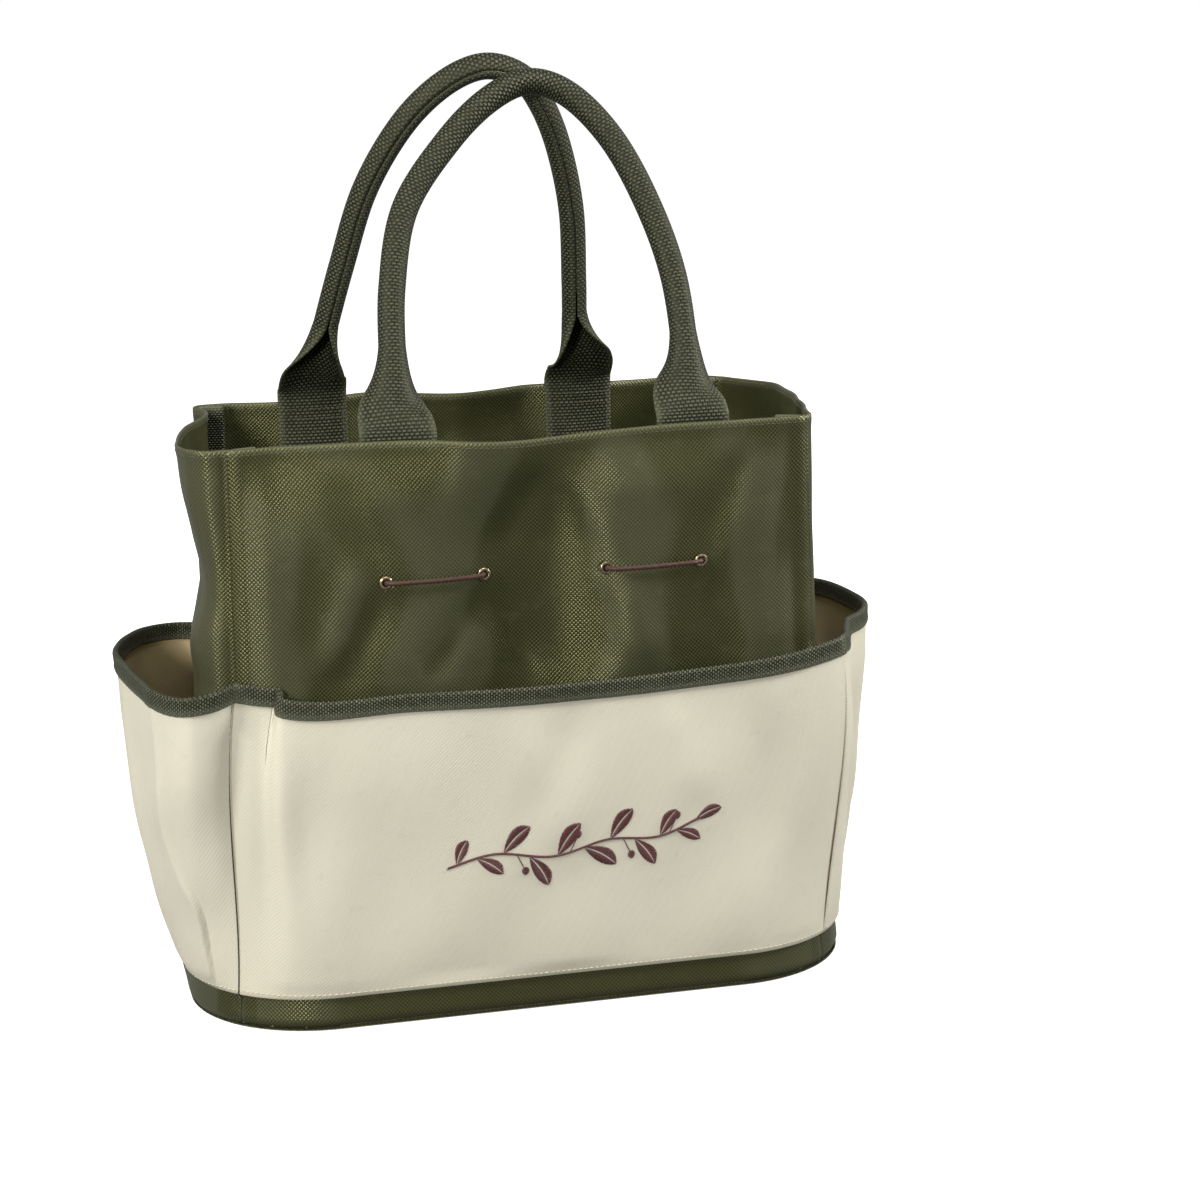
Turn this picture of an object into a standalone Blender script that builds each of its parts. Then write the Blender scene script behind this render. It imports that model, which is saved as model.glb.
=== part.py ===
"""Garden tool bag: an open-topped canvas tote with a pocket on each face, a laced front and two rolled handles.

Metres, +Z up. The origin is the centre of the footprint, -Y is the laced front and +X its right-hand side.
"""

import math

import bmesh
import bpy
from mathutils import Euler, Vector

# Body
HEIGHT = 0.304
HALF_WIDTH_BASE = 0.181
HALF_WIDTH_MID = 0.1565  # at the pockets' tops
HALF_WIDTH_RIM = 0.1545
HALF_DEPTH_BASE = 0.100
HALF_DEPTH_RIM = 0.088
CORNER_BASE = 0.072
CORNER_RIM = 0.011
CORNER_RISE = 0.170  # height over which the round base corners draw in to the rim's
GUSSET_BULGE = 0.006
WALL = 0.0012
SEAM_GAP = 0.0006
GAP = 0.0003

# Base
BASE_SKIN = 0.0012
BOARD = 0.0025
LINING = 0.0010
BASE_INSET = 0.0022

# Pockets
POCKET_FOOT = 0.018
POCKET_TOP = 0.184
POCKET_CLOTH = 0.0010
POCKET_SEAM_GAP = 0.0032
POCKET_STAND = 0.0022  # how far the bound top edge stands off the wall at a corner seam
POCKET_GAPE = {"front": 0.014, "rear": 0.014, "left": 0.041, "right": 0.041}
BINDING_CLOTH = 0.0008
BINDING_DEPTH = 0.0095
BOUND_EDGE = 0.012  # depth of a pocket's straight top edge, which the binding folds over

# Inside seam tapes
TAPE_HALF_WIDTH = 0.0085
TAPE_CLOTH = 0.0010
TAPE_GAP = 0.0008  # clears the wall's own facets at a corner

# Eyelets and lace
EYELET_Z = 0.233
EYELET_X = (-0.075, -0.0235, 0.0395, 0.0905)
EYELET_FLANGE_RADIUS = 0.0035
EYELET_FLANGE = 0.0006
EYELET_BARREL_RADIUS = 0.0022
EYELET_BORE_RADIUS = 0.0017
EYELET_HOLE_RADIUS = 0.0025
WASHER_RADIUS = 0.0034
WASHER = 0.0005
LACE_RADIUS = 0.0012
LACE_BEND = 0.0026
LACE_TAIL = 0.0125
KNOT_RING_RADIUS = 0.0030
KNOT_CORD_RADIUS = 0.0014

# Handles
STRAP_WIDTH = 0.038
STRAP = 0.0014
TAB_DROP = 0.045
HINGE_RISE = 0.008
HINGE_CLEARANCE = 0.0011
REST_GAP = 0.0005  # between the two handles where they lean on each other
FLARE_START = 0.003
FLARE_LENGTH = 0.036
ROLL_SHARE = 0.955  # share of a full turn that the strap is rolled to
CORE_RADIUS = 0.0047
CORE_TRIM = 0.046  # strap length at each end that holds no core
HANDLE_X = {"front": 0.012, "rear": -0.008}
LEG_SPACING = 0.154
# Each handle's arch from its left tab to its right one: x from the handle's middle, and height from its hinge
ARCH = {
    "front": (
        (-0.0770, 0.000), (-0.0770, 0.011), (-0.0748, 0.034), (-0.0710, 0.074), (-0.0596, 0.117),
        (-0.0330, 0.153), (-0.0080, 0.1755), (0.0140, 0.1840), (0.0350, 0.1750), (0.0550, 0.149),
        (0.0696, 0.112), (0.0780, 0.074), (0.0792, 0.034), (0.0770, 0.011), (0.0770, 0.000),
    ),
    "rear": (
        (-0.0770, 0.000), (-0.0770, 0.011), (-0.0710, 0.040), (-0.0620, 0.079), (-0.0505, 0.122),
        (-0.0320, 0.158), (-0.0110, 0.181), (0.0110, 0.1915), (0.0310, 0.186), (0.0440, 0.170),
        (0.0555, 0.143), (0.0648, 0.105), (0.0690, 0.061), (0.0712, 0.036), (0.0770, 0.011), (0.0770, 0.000),
    ),
}

# Sampling
CORNER_STEPS = 3
FACE_STEPS = 14
CORNER_SHARE = CORNER_STEPS / FACE_STEPS
CORNER_HALF_TURN = math.pi / 4
ROUND_STEPS = 16
ARCH_STEPS = 38
STRAP_STEPS = 8
POCKET_ROWS = 4
UPPER_ROWS = 3

# Each face of the bag by the angle that it looks along, seen from above
FACES = {"front": -90, "right": 0, "rear": 90, "left": 180}
CORNERS = {"front_right": -45, "rear_right": 45, "rear_left": 135, "front_left": -135}

FINISHES = {
    "olive_canvas": ((0.075, 0.078, 0.042), 0.62, 0.0),
    "cream_canvas": ((0.66, 0.61, 0.49), 0.85, 0.0),
    "webbing": ((0.035, 0.038, 0.028), 0.75, 0.0),
    "binding": ((0.030, 0.034, 0.025), 0.75, 0.0),
    "board": ((0.35, 0.28, 0.20), 0.80, 0.0),
    "brass": ((0.33, 0.23, 0.11), 0.35, 1.0),
    "lace": ((0.085, 0.030, 0.022), 0.80, 0.0),
    "cord": ((0.60, 0.58, 0.52), 0.90, 0.0),
}


# ---- Scene, materials and small helpers ----


def clear_scene():
    for obj in list(bpy.data.objects):
        bpy.data.objects.remove(obj, do_unlink=True)


def make_collection(name):
    group = bpy.data.collections.new(name)
    bpy.context.scene.collection.children.link(group)
    return group


def make_finish(name):
    color, roughness, metallic = FINISHES[name]
    finish = bpy.data.materials.new(name)
    finish.use_nodes = True
    shader = finish.node_tree.nodes["Principled BSDF"]
    shader.inputs["Base Color"].default_value = (*color, 1.0)
    shader.inputs["Roughness"].default_value = roughness
    shader.inputs["Metallic"].default_value = metallic
    return finish


def smoothstep(value):
    value = min(max(value, 0.0), 1.0)
    return value * value * (3 - 2 * value)


def mix(low, high, share):
    return low + (high - low) * share


def link_mesh(name, bm, group, finish):
    mesh = bpy.data.meshes.new(name)
    bmesh.ops.recalc_face_normals(bm, faces=bm.faces)
    bm.to_mesh(mesh)
    bm.free()
    mesh.shade_smooth()
    mesh.set_sharp_from_angle(angle=math.radians(40))
    mesh.materials.append(finish)
    obj = bpy.data.objects.new(name, mesh)
    group.objects.link(obj)
    return obj


def cloth(name, across, up, place, thickness, group, finish):
    """A sheet whose point at (u, v), each from 0 to 1, is place(u, v), thickened evenly to both sides."""
    bm = bmesh.new()
    bmesh.ops.create_grid(bm, x_segments=across, y_segments=up, size=0.5)
    for vert in bm.verts:
        vert.co = place(vert.co.x + 0.5, vert.co.y + 0.5)
    sheet = link_mesh(name, bm, group, finish)
    solid = sheet.modifiers.new("thickness", "SOLIDIFY")
    solid.thickness = thickness
    solid.offset = 0.0
    return sheet


# ---- The bag's outline in plan ----


def half_width(z):
    if z < POCKET_TOP:
        return mix(HALF_WIDTH_BASE, HALF_WIDTH_MID, z / POCKET_TOP)
    return mix(HALF_WIDTH_MID, HALF_WIDTH_RIM, (z - POCKET_TOP) / (HEIGHT - POCKET_TOP))


def half_depth(z):
    return mix(HALF_DEPTH_BASE, HALF_DEPTH_RIM, min(z / POCKET_TOP, 1.0))


def corner_radius(z):
    return mix(CORNER_BASE, CORNER_RIM, smoothstep(z / CORNER_RISE))


def inset_run(u, z, gap):
    """u as a share of a face's run from seam to seam, which stops half a gap short of each seam."""
    inset = 0.5 * gap * CORNER_SHARE / (corner_radius(z) * CORNER_HALF_TURN)
    return mix(inset, 1 - inset, u)


def face_point(face, t, z, out):
    """A point on a face at t from its left seam (0) to its right seam (1), out from the wall's outer side."""
    radius = corner_radius(z)
    deep_face = face in ("front", "rear")
    reach = half_depth(z) if deep_face else half_width(z)
    half_run = (half_width(z) if deep_face else half_depth(z)) - radius
    if t < CORNER_SHARE:
        turn = -CORNER_HALF_TURN * (1 - t / CORNER_SHARE)
        along = -half_run
    elif t > 1 - CORNER_SHARE:
        turn = CORNER_HALF_TURN * (1 - (1 - t) / CORNER_SHARE)
        along = half_run
    else:
        turn = 0.0
        along = mix(-half_run, half_run, (t - CORNER_SHARE) / (1 - 2 * CORNER_SHARE))
    if not deep_face:
        straight = min(max((t - CORNER_SHARE) / (1 - 2 * CORNER_SHARE), 0.0), 1.0)
        out += GUSSET_BULGE * math.sin(math.pi * straight) ** 1.5 * smoothstep(z / HEIGHT * 1.4)
    facing = math.radians(FACES[face])
    normal_x = math.cos(facing + turn) * (radius + out)
    normal_y = math.sin(facing + turn) * (radius + out)
    base_x = math.cos(facing) * (reach - radius) - math.sin(facing) * along
    base_y = math.sin(facing) * (reach - radius) + math.cos(facing) * along
    return Vector((base_x + normal_x, base_y + normal_y, z))


def pocket_levels():
    """The heights of a pocket's rows, from its foot to its top."""
    bound = POCKET_TOP - BOUND_EDGE
    rows = [mix(POCKET_FOOT, bound, step / POCKET_ROWS) for step in range(POCKET_ROWS + 1)]
    return [*rows, POCKET_TOP]


def upper_levels():
    return [mix(POCKET_TOP, HEIGHT, step / UPPER_ROWS) for step in range(1, UPPER_ROWS + 1)]


def wall_levels():
    """The heights of a wall's rows, which match the pockets' rows behind them."""
    return [BASE_SKIN + GAP, *pocket_levels(), *upper_levels()]


def pocket_out(face, t, z):
    """How far a pocket's cloth stands out from the wall, to the cloth's middle."""
    rise = min(max((z - POCKET_FOOT) / (POCKET_TOP - POCKET_FOOT), 0.0), 1.0)
    from_seam = min(t, 1 - t)
    ramp = CORNER_SHARE * 1.15 if face in ("front", "rear") else 0.42
    fullness = math.sin(0.5 * math.pi * min(from_seam / ramp, 1.0)) ** 2
    return GAP + POCKET_CLOTH / 2 + POCKET_STAND * rise**3 + POCKET_GAPE[face] * fullness * rise**0.85


def pocket_point(face, u, z, out):
    """A point of a pocket at u from seam to seam, out from its cloth's middle square to the cloth."""
    step = 1 / FACE_STEPS
    spots = []
    for share in (max(u - step, 0.0), u, min(u + step, 1.0)):
        t = inset_run(share, z, POCKET_SEAM_GAP)
        spots.append(face_point(face, t, z, pocket_out(face, t, z)))
    along = spots[2] - spots[0]
    square = Vector((along.y, -along.x, 0.0)).normalized()
    return spots[1] + square * out


# ---- Body ----


def build_walls(group, finish):
    """Front and rear panels and the two gussets, each a sheet from corner seam to corner seam."""
    names = {"front": "front_panel", "rear": "rear_panel", "left": "left_gusset", "right": "right_gusset"}
    levels = wall_levels()
    walls = {}
    for face, name in names.items():

        def place(u, v, face=face):
            z = levels[round(v * (len(levels) - 1))]
            return face_point(face, inset_run(u, z, SEAM_GAP), z, -WALL / 2)

        walls[face] = cloth(name, FACE_STEPS, len(levels) - 1, place, WALL, group, finish)
    return walls


def base_plate(name, low, thickness, inset, group, finish):
    """A flat plate with the bag's round-cornered outline, drawn in by inset."""
    outline = []
    for face in ("front", "right", "rear", "left"):
        for step in range(FACE_STEPS + 1):
            t = step / FACE_STEPS
            if step and not CORNER_SHARE < t < 1 - CORNER_SHARE - 1e-6:
                outline.append(face_point(face, t, 0.0, -inset))
    curve = bpy.data.curves.new(name, "CURVE")
    curve.dimensions = "2D"
    curve.fill_mode = "BOTH"
    curve.extrude = thickness / 2
    spline = curve.splines.new("POLY")
    spline.points.add(len(outline) - 1)
    for point, place in zip(spline.points, outline):
        point.co = (place.x, place.y, 0.0, 1.0)
    spline.use_cyclic_u = True
    curve.materials.append(finish)
    plate = bpy.data.objects.new(name, curve)
    plate.location.z = low + thickness / 2
    group.objects.link(plate)
    return plate


def build_base(group, finishes):
    board_low = BASE_SKIN + GAP
    lining_low = board_low + BOARD + GAP
    base_plate("base_panel", 0.0, BASE_SKIN, 0.0, group, finishes["olive_canvas"])
    base_plate("base_board", board_low, BOARD, BASE_INSET, group, finishes["board"])
    base_plate("base_lining", lining_low, LINING, BASE_INSET, group, finishes["olive_canvas"])


def build_seam_tapes(group, finish):
    """A tape down the inside of each corner, over the seam allowances."""
    levels = [*pocket_levels(), *upper_levels()]
    for corner, degrees in CORNERS.items():
        side_x = math.copysign(1, math.cos(math.radians(degrees)))
        side_y = math.copysign(1, math.sin(math.radians(degrees)))

        def place(u, v, degrees=degrees, side_x=side_x, side_y=side_y):
            z = levels[round(v * (len(levels) - 1))]
            radius = corner_radius(z)
            turn = math.radians(degrees) + (u - 0.5) * 2 * TAPE_HALF_WIDTH / radius
            reach = radius - WALL - TAPE_GAP - TAPE_CLOTH / 2
            centre_x = side_x * (half_width(z) - radius)
            centre_y = side_y * (half_depth(z) - radius)
            return Vector((centre_x + reach * math.cos(turn), centre_y + reach * math.sin(turn), z))

        cloth("seam_tape_" + corner, 6, len(levels) - 1, place, TAPE_CLOTH, group, finish)


# ---- Pockets ----


def build_pocket(face, group, finish):
    levels = pocket_levels()

    def place(u, v):
        return pocket_point(face, u, levels[round(v * (len(levels) - 1))], 0.0)

    cloth(face + "_pocket", FACE_STEPS, len(levels) - 1, place, POCKET_CLOTH, group, finish)


def build_binding(face, group, finish):
    """The tape folded over a pocket's top edge: down its outer side, over the edge and down its inner side."""
    stand = POCKET_CLOTH / 2 + GAP + BINDING_CLOTH / 2
    fold = (
        (stand, -BINDING_DEPTH), (stand, 0.0), (stand * 0.7, stand * 0.75), (0.0, stand),
        (-stand * 0.7, stand * 0.75), (-stand, 0.0), (-stand, -BINDING_DEPTH),
    )

    def place(u, v):
        out, rise = fold[round(v * (len(fold) - 1))]
        return pocket_point(face, u, POCKET_TOP + rise, out)

    cloth(face + "_pocket_binding", FACE_STEPS, len(fold) - 1, place, BINDING_CLOTH, group, finish)


# ---- Eyelets and lace ----


def turned(name, profile, location, group, finish):
    """A closed profile of (radius, height) turned about an axis that looks out of the front panel."""
    bm = bmesh.new()
    verts = [bm.verts.new((radius, 0.0, height)) for radius, height in profile]
    for index, vert in enumerate(verts):
        bm.edges.new((vert, verts[(index + 1) % len(verts)]))
    mesh = bpy.data.meshes.new(name)
    bm.to_mesh(mesh)
    bm.free()
    mesh.materials.append(finish)
    obj = bpy.data.objects.new(name, mesh)
    obj.location = location
    obj.rotation_euler = Euler((math.pi / 2, 0.0, 0.0))
    group.objects.link(obj)
    screw = obj.modifiers.new("turn", "SCREW")
    screw.steps = ROUND_STEPS
    screw.render_steps = ROUND_STEPS
    screw.use_merge_vertices = True
    screw.merge_threshold = 0.00001
    screw.use_smooth_shade = True
    return obj


def build_eyelets(group, finish):
    """Each eyelet's flange and barrel from the front, and the washer that its barrel holds on the inside."""
    barrel = GAP + WALL + GAP + WASHER
    eyelet_profile = (
        (EYELET_BORE_RADIUS, EYELET_FLANGE), (EYELET_FLANGE_RADIUS, EYELET_FLANGE),
        (EYELET_FLANGE_RADIUS, 0.0), (EYELET_BARREL_RADIUS, 0.0),
        (EYELET_BARREL_RADIUS, -barrel), (EYELET_BORE_RADIUS, -barrel),
    )
    washer_profile = (
        (EYELET_HOLE_RADIUS, WASHER), (WASHER_RADIUS, WASHER), (WASHER_RADIUS, 0.0), (EYELET_HOLE_RADIUS, 0.0),
    )
    for number, x in enumerate(EYELET_X, 1):
        flange_y = -HALF_DEPTH_RIM - GAP
        washer_y = -HALF_DEPTH_RIM + WALL + GAP + WASHER
        turned(f"eyelet_{number}", eyelet_profile, (x, flange_y, EYELET_Z), group, finish)
        turned(f"eyelet_washer_{number}", washer_profile, (x, washer_y, EYELET_Z), group, finish)


def pierce_front_panel(panel, cutters):
    for number, x in enumerate(EYELET_X, 1):
        bm = bmesh.new()
        bmesh.ops.create_cone(
            bm, cap_ends=True, segments=ROUND_STEPS, depth=0.012,
            radius1=EYELET_HOLE_RADIUS, radius2=EYELET_HOLE_RADIUS,
        )
        mesh = bpy.data.meshes.new(f"eyelet_hole_{number}")
        bm.to_mesh(mesh)
        bm.free()
        cutter = bpy.data.objects.new(mesh.name, mesh)
        cutter.location = (x, -HALF_DEPTH_RIM, EYELET_Z)
        cutter.rotation_euler = Euler((math.pi / 2, 0.0, 0.0))
        cutter.hide_render = True
        cutter.display_type = "WIRE"
        cutters.objects.link(cutter)
        cut = panel.modifiers.new(mesh.name, "BOOLEAN")
        cut.operation = "DIFFERENCE"
        cut.object = cutter


def lace_route():
    """In at the first knot, out of the first eyelet, along the front, and in and out to the last knot."""
    outer_turn = -HALF_DEPTH_RIM - GAP
    inner_turn = -HALF_DEPTH_RIM + WALL + GAP + WASHER + GAP
    route = [(EYELET_X[0], inner_turn + LACE_TAIL)]
    for index, x in enumerate(EYELET_X):
        goes_out = index % 2 == 0
        turn_y = outer_turn if goes_out else inner_turn
        sign_y = -1 if goes_out else 1
        last = index == len(EYELET_X) - 1
        if index:
            # The run that arrives here lies on the side that this eyelet is entered from
            side_y = inner_turn if goes_out else outer_turn
            arrive = -sign_y
            for step in range(4):
                turn = 0.5 * math.pi * step / 3
                along = x - LACE_BEND + LACE_BEND * math.sin(turn)
                route.append((along, side_y + arrive * LACE_BEND * math.cos(turn)))
        if last:
            route.append((x, inner_turn + LACE_TAIL))
        else:
            for step in range(4):
                turn = 0.5 * math.pi * step / 3
                along = x + LACE_BEND - LACE_BEND * math.cos(turn)
                route.append((along, turn_y + sign_y * LACE_BEND * math.sin(turn)))
    return [Vector((x, y, EYELET_Z)) for x, y in route]


def build_lace(group, finish):
    curve = bpy.data.curves.new("lace", "CURVE")
    curve.dimensions = "3D"
    curve.bevel_depth = LACE_RADIUS
    curve.bevel_resolution = 2
    curve.use_fill_caps = True
    spline = curve.splines.new("POLY")
    route = lace_route()
    spline.points.add(len(route) - 1)
    for point, place in zip(spline.points, route):
        point.co = (*place, 1.0)
    curve.materials.append(finish)
    group.objects.link(bpy.data.objects.new("lace", curve))


def build_lace_knots(group, finish):
    """A ring of cord round each end of the lace, too wide to follow it through the eyelet."""
    knot_y = -HALF_DEPTH_RIM + WALL + GAP + WASHER + LACE_TAIL * 0.6
    for name, x in (("lace_knot_left", EYELET_X[0]), ("lace_knot_right", EYELET_X[-1])):
        bpy.ops.mesh.primitive_torus_add(
            major_radius=KNOT_RING_RADIUS, minor_radius=KNOT_CORD_RADIUS, major_segments=14, minor_segments=8,
            location=(x, knot_y, EYELET_Z), rotation=(math.pi / 2, 0.0, 0.0),
        )
        knot = bpy.context.active_object
        knot.name = name
        knot.data.materials.append(finish)
        knot.data.shade_smooth()
        for owner in list(knot.users_collection):
            owner.objects.unlink(knot)
        group.objects.link(knot)


# ---- Handles ----


def strap_plane_y():
    """Distance from the bag's mid-plane to the middle of a strap sewn to the inside of a panel."""
    return HALF_DEPTH_RIM - WALL - GAP - STRAP / 2


def build_tabs(side, group, finish):
    """The flat ends of a handle's strap, sewn down inside the panel."""
    sign_y = -1 if side == "front" else 1
    low = HEIGHT - TAB_DROP
    high = HEIGHT + HINGE_RISE - STRAP / 2 - HINGE_CLEARANCE
    for end, sign_x in (("left", -1), ("right", 1)):
        bm = bmesh.new()
        bmesh.ops.create_cube(bm, size=1.0)
        for vert in bm.verts:
            vert.co = (vert.co.x * STRAP_WIDTH, vert.co.y * STRAP, vert.co.z * (high - low))
        tab = link_mesh(f"{side}_handle_tab_{end}", bm, group, finish)
        x = HANDLE_X[side] + sign_x * LEG_SPACING / 2
        tab.location = (x, sign_y * strap_plane_y(), (low + high) / 2)


def arch_curve(side, share):
    """An arch's point and direction at a share of its way, on a smooth curve through its points."""
    arch = ARCH[side]
    place = share * (len(arch) - 1)
    index = min(int(place), len(arch) - 2)
    local = place - index
    knots = [Vector(arch[min(max(index + step, 0), len(arch) - 1)]) for step in (-1, 0, 1, 2)]
    slope_a = (knots[2] - knots[0]) / 2
    slope_b = (knots[3] - knots[1]) / 2
    square, cube = local * local, local**3
    point = (
        knots[1] * (2 * cube - 3 * square + 1) + slope_a * (cube - 2 * square + local)
        + knots[2] * (3 * square - 2 * cube) + slope_b * (cube - square)
    )
    slope = (
        (knots[1] - knots[2]) * (6 * square - 6 * local) + slope_a * (3 * square - 4 * local + 1)
        + slope_b * (3 * square - 2 * local)
    )
    return point, slope.normalized()


def arch_stations(side):
    """Even stations along an arch: point, direction and length so far."""
    fine = 400
    samples = [arch_curve(side, step / fine) for step in range(fine + 1)]
    lengths = [0.0]
    for before, after in zip(samples, samples[1:]):
        lengths.append(lengths[-1] + (after[0] - before[0]).length)
    stations = []
    cursor = 0
    for step in range(ARCH_STEPS + 1):
        target = lengths[-1] * step / ARCH_STEPS
        while cursor < fine and lengths[cursor] < target - 1e-9:
            cursor += 1
        stations.append((*samples[cursor], lengths[cursor]))
    return stations, lengths[-1]


def handle_lean(side):
    """The angle at which a handle's rolled top comes to rest against the other at the bag's mid-plane."""
    top = max(arch_curve(side, step / 100)[0].y for step in range(101))
    thick = STRAP_WIDTH / (math.pi * ROLL_SHARE) + STRAP / 2
    reach = strap_plane_y() - REST_GAP / 2
    return math.asin(reach / math.hypot(top, thick)) - math.atan2(thick, top)


def handle_frame(side):
    """The hinge's place, and the leaning plane's x, up and outward directions."""
    sign_y = -1 if side == "front" else 1
    lean = handle_lean(side)
    origin = Vector((HANDLE_X[side], sign_y * strap_plane_y(), HEIGHT + HINGE_RISE))
    up = Vector((0.0, -sign_y * math.sin(lean), math.cos(lean)))
    outward = Vector((0.0, sign_y * math.cos(lean), math.sin(lean)))
    return origin, Vector((1.0, 0.0, 0.0)), up, outward


def roll_share(from_end):
    return smoothstep((from_end - FLARE_START) / FLARE_LENGTH)


def build_handle(side, group, finishes):
    """A strap that rises flat from its two tabs, rolls into a tube round a cord, and arches over the bag."""
    origin, right, up, outward = handle_frame(side)
    stations, total = arch_stations(side)
    full_curl = 2 * math.pi * ROLL_SHARE / STRAP_WIDTH

    def place(u, v):
        point, slope, length = stations[round(v * ARCH_STEPS)]
        curl = max(full_curl * roll_share(min(length, total - length)), 1e-3)
        across = (u - 0.5) * STRAP_WIDTH
        side_step = math.sin(curl * across) / curl
        depth = (1 - math.cos(curl * across)) / curl
        width_way = Vector((slope.y, -slope.x))
        flat = point + width_way * side_step
        return right * flat.x + up * flat.y - outward * depth

    strap = cloth(f"{side}_handle", STRAP_STEPS, ARCH_STEPS, place, STRAP, group, finishes["webbing"])
    strap.location = origin
    tube_depth = 1 / full_curl
    curve = bpy.data.curves.new(f"{side}_handle_core", "CURVE")
    curve.dimensions = "3D"
    curve.bevel_depth = CORE_RADIUS
    curve.bevel_resolution = 2
    curve.use_fill_caps = True
    spline = curve.splines.new("POLY")
    held = [entry for entry in stations if CORE_TRIM < entry[2] < total - CORE_TRIM]
    spline.points.add(len(held) - 1)
    for spot, (point, _slope, _length) in zip(spline.points, held):
        spot.co = (*(right * point.x + up * point.y - outward * tube_depth), 1.0)
    curve.materials.append(finishes["cord"])
    core = bpy.data.objects.new(curve.name, curve)
    core.location = origin
    group.objects.link(core)


# ---- Assembly ----


def main():
    clear_scene()
    group = make_collection("garden_tool_bag")
    cutters = make_collection("cutters")
    finishes = {name: make_finish(name) for name in FINISHES}
    walls = build_walls(group, finishes["olive_canvas"])
    pierce_front_panel(walls["front"], cutters)
    build_base(group, finishes)
    build_seam_tapes(group, finishes["binding"])
    for face in FACES:
        build_pocket(face, group, finishes["cream_canvas"])
        build_binding(face, group, finishes["binding"])
    build_eyelets(group, finishes["brass"])
    build_lace(group, finishes["lace"])
    build_lace_knots(group, finishes["lace"])
    for side in HANDLE_X:
        build_tabs(side, group, finishes["webbing"])
        build_handle(side, group, finishes)


main()
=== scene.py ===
"""Garden tool bag: an olive canvas tote with a cream pocket band, bound edges, a laced front and rolled handles."""

import math
import random

import bpy
import numpy as np
from mathutils import Matrix, Vector
from mathutils.bvhtree import BVHTree


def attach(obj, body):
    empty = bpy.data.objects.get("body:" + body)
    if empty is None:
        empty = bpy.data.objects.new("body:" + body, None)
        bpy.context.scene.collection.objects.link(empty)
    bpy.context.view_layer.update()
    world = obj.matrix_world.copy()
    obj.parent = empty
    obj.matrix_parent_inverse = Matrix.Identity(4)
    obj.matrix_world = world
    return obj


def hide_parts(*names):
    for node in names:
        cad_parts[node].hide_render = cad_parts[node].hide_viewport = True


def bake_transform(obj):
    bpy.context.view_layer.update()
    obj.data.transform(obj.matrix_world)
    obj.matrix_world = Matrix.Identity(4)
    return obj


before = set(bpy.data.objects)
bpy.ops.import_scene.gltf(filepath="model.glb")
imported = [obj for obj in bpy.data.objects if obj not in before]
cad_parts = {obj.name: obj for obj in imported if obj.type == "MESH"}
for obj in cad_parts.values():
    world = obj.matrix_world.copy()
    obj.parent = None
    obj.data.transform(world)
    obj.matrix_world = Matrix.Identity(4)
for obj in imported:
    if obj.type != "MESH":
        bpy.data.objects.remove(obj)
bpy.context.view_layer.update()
random.seed(41)

# ---- Sizes, in metres, as the CAD part has them ----

HEIGHT = 0.304
HALF_WIDTH_BASE = 0.181
HALF_WIDTH_MID = 0.1565
HALF_WIDTH_RIM = 0.1545
HALF_DEPTH_BASE = 0.100
HALF_DEPTH_RIM = 0.088
CORNER_BASE = 0.072
CORNER_RIM = 0.011
CORNER_RISE = 0.170
CORNER_SHARE = 3 / 14
WALL = 0.0012
WALL_LOW = 0.0015
POCKET_FOOT = 0.018
POCKET_TOP = 0.184
POCKET_CLOTH = 0.0011
POCKET_OFF_WALL = 0.0016
BINDING_DEPTH = 0.0078
BINDING_CLOTH = 0.0009
BINDING_GAP = 0.0003
EYELET_Z = 0.233
EYELET_HOLE = 0.0023
EYELET_X = (-0.075, -0.0235, 0.0395, 0.0905)
LACE_RADIUS = 0.0012
STRAP_WIDTH = 0.038
STRAP = 0.0014
STRAP_PLANE_Y = 0.0858
TAB_LOW = 0.259
HINGE_Z = 0.312
FLARE_START = -0.003
FLARE_LENGTH = 0.047
FOLDED_ENDS = 0.012
ROLL_SHARE = 0.955
REST_GAP = 0.0005
HANDLE_X = {"front": 0.012, "rear": -0.008}
LEG_SPACING = 0.154
FACES = {"front": -90, "right": 0, "rear": 90, "left": 180}
PANELS = ("front", "rear")
OUT_SIGN = {"front": -1, "rear": 1}
WALLS = {"front": "front_panel", "right": "right_gusset", "rear": "rear_panel", "left": "left_gusset"}


def mm(*rows):
    """Rows of millimetres as metres."""
    return tuple(tuple(round(value / 1000, 6) for value in row) for row in rows)


# A handle's middle line in its leaning plane: across and up, from its left foot.
ARCH = {
    "front": mm(
        (-77, 0), (-77, 11), (-74.8, 34), (-71, 74), (-59.6, 117), (-33, 153), (-8, 175.5), (14, 184),
        (35, 175), (55, 149), (69.6, 112), (78, 74), (79.2, 34), (77, 11), (77, 0),
    ),
    "rear": mm(
        (-77, 0), (-77, 11), (-71, 40), (-62, 79), (-50.5, 122), (-32, 158), (-11, 181), (11, 191.5), (31, 186),
        (44, 170), (55.5, 143), (64.8, 105), (69, 61), (71.2, 36), (77, 11), (77, 0),
    ),
}

# ---- Camera ----

CAMERA_PLACE = (-0.2753, -1.4172, 0.5080)
CAMERA_TURN = (13.23, 12.12, -1.51)  # yaw, pitch and roll, in degrees


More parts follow.
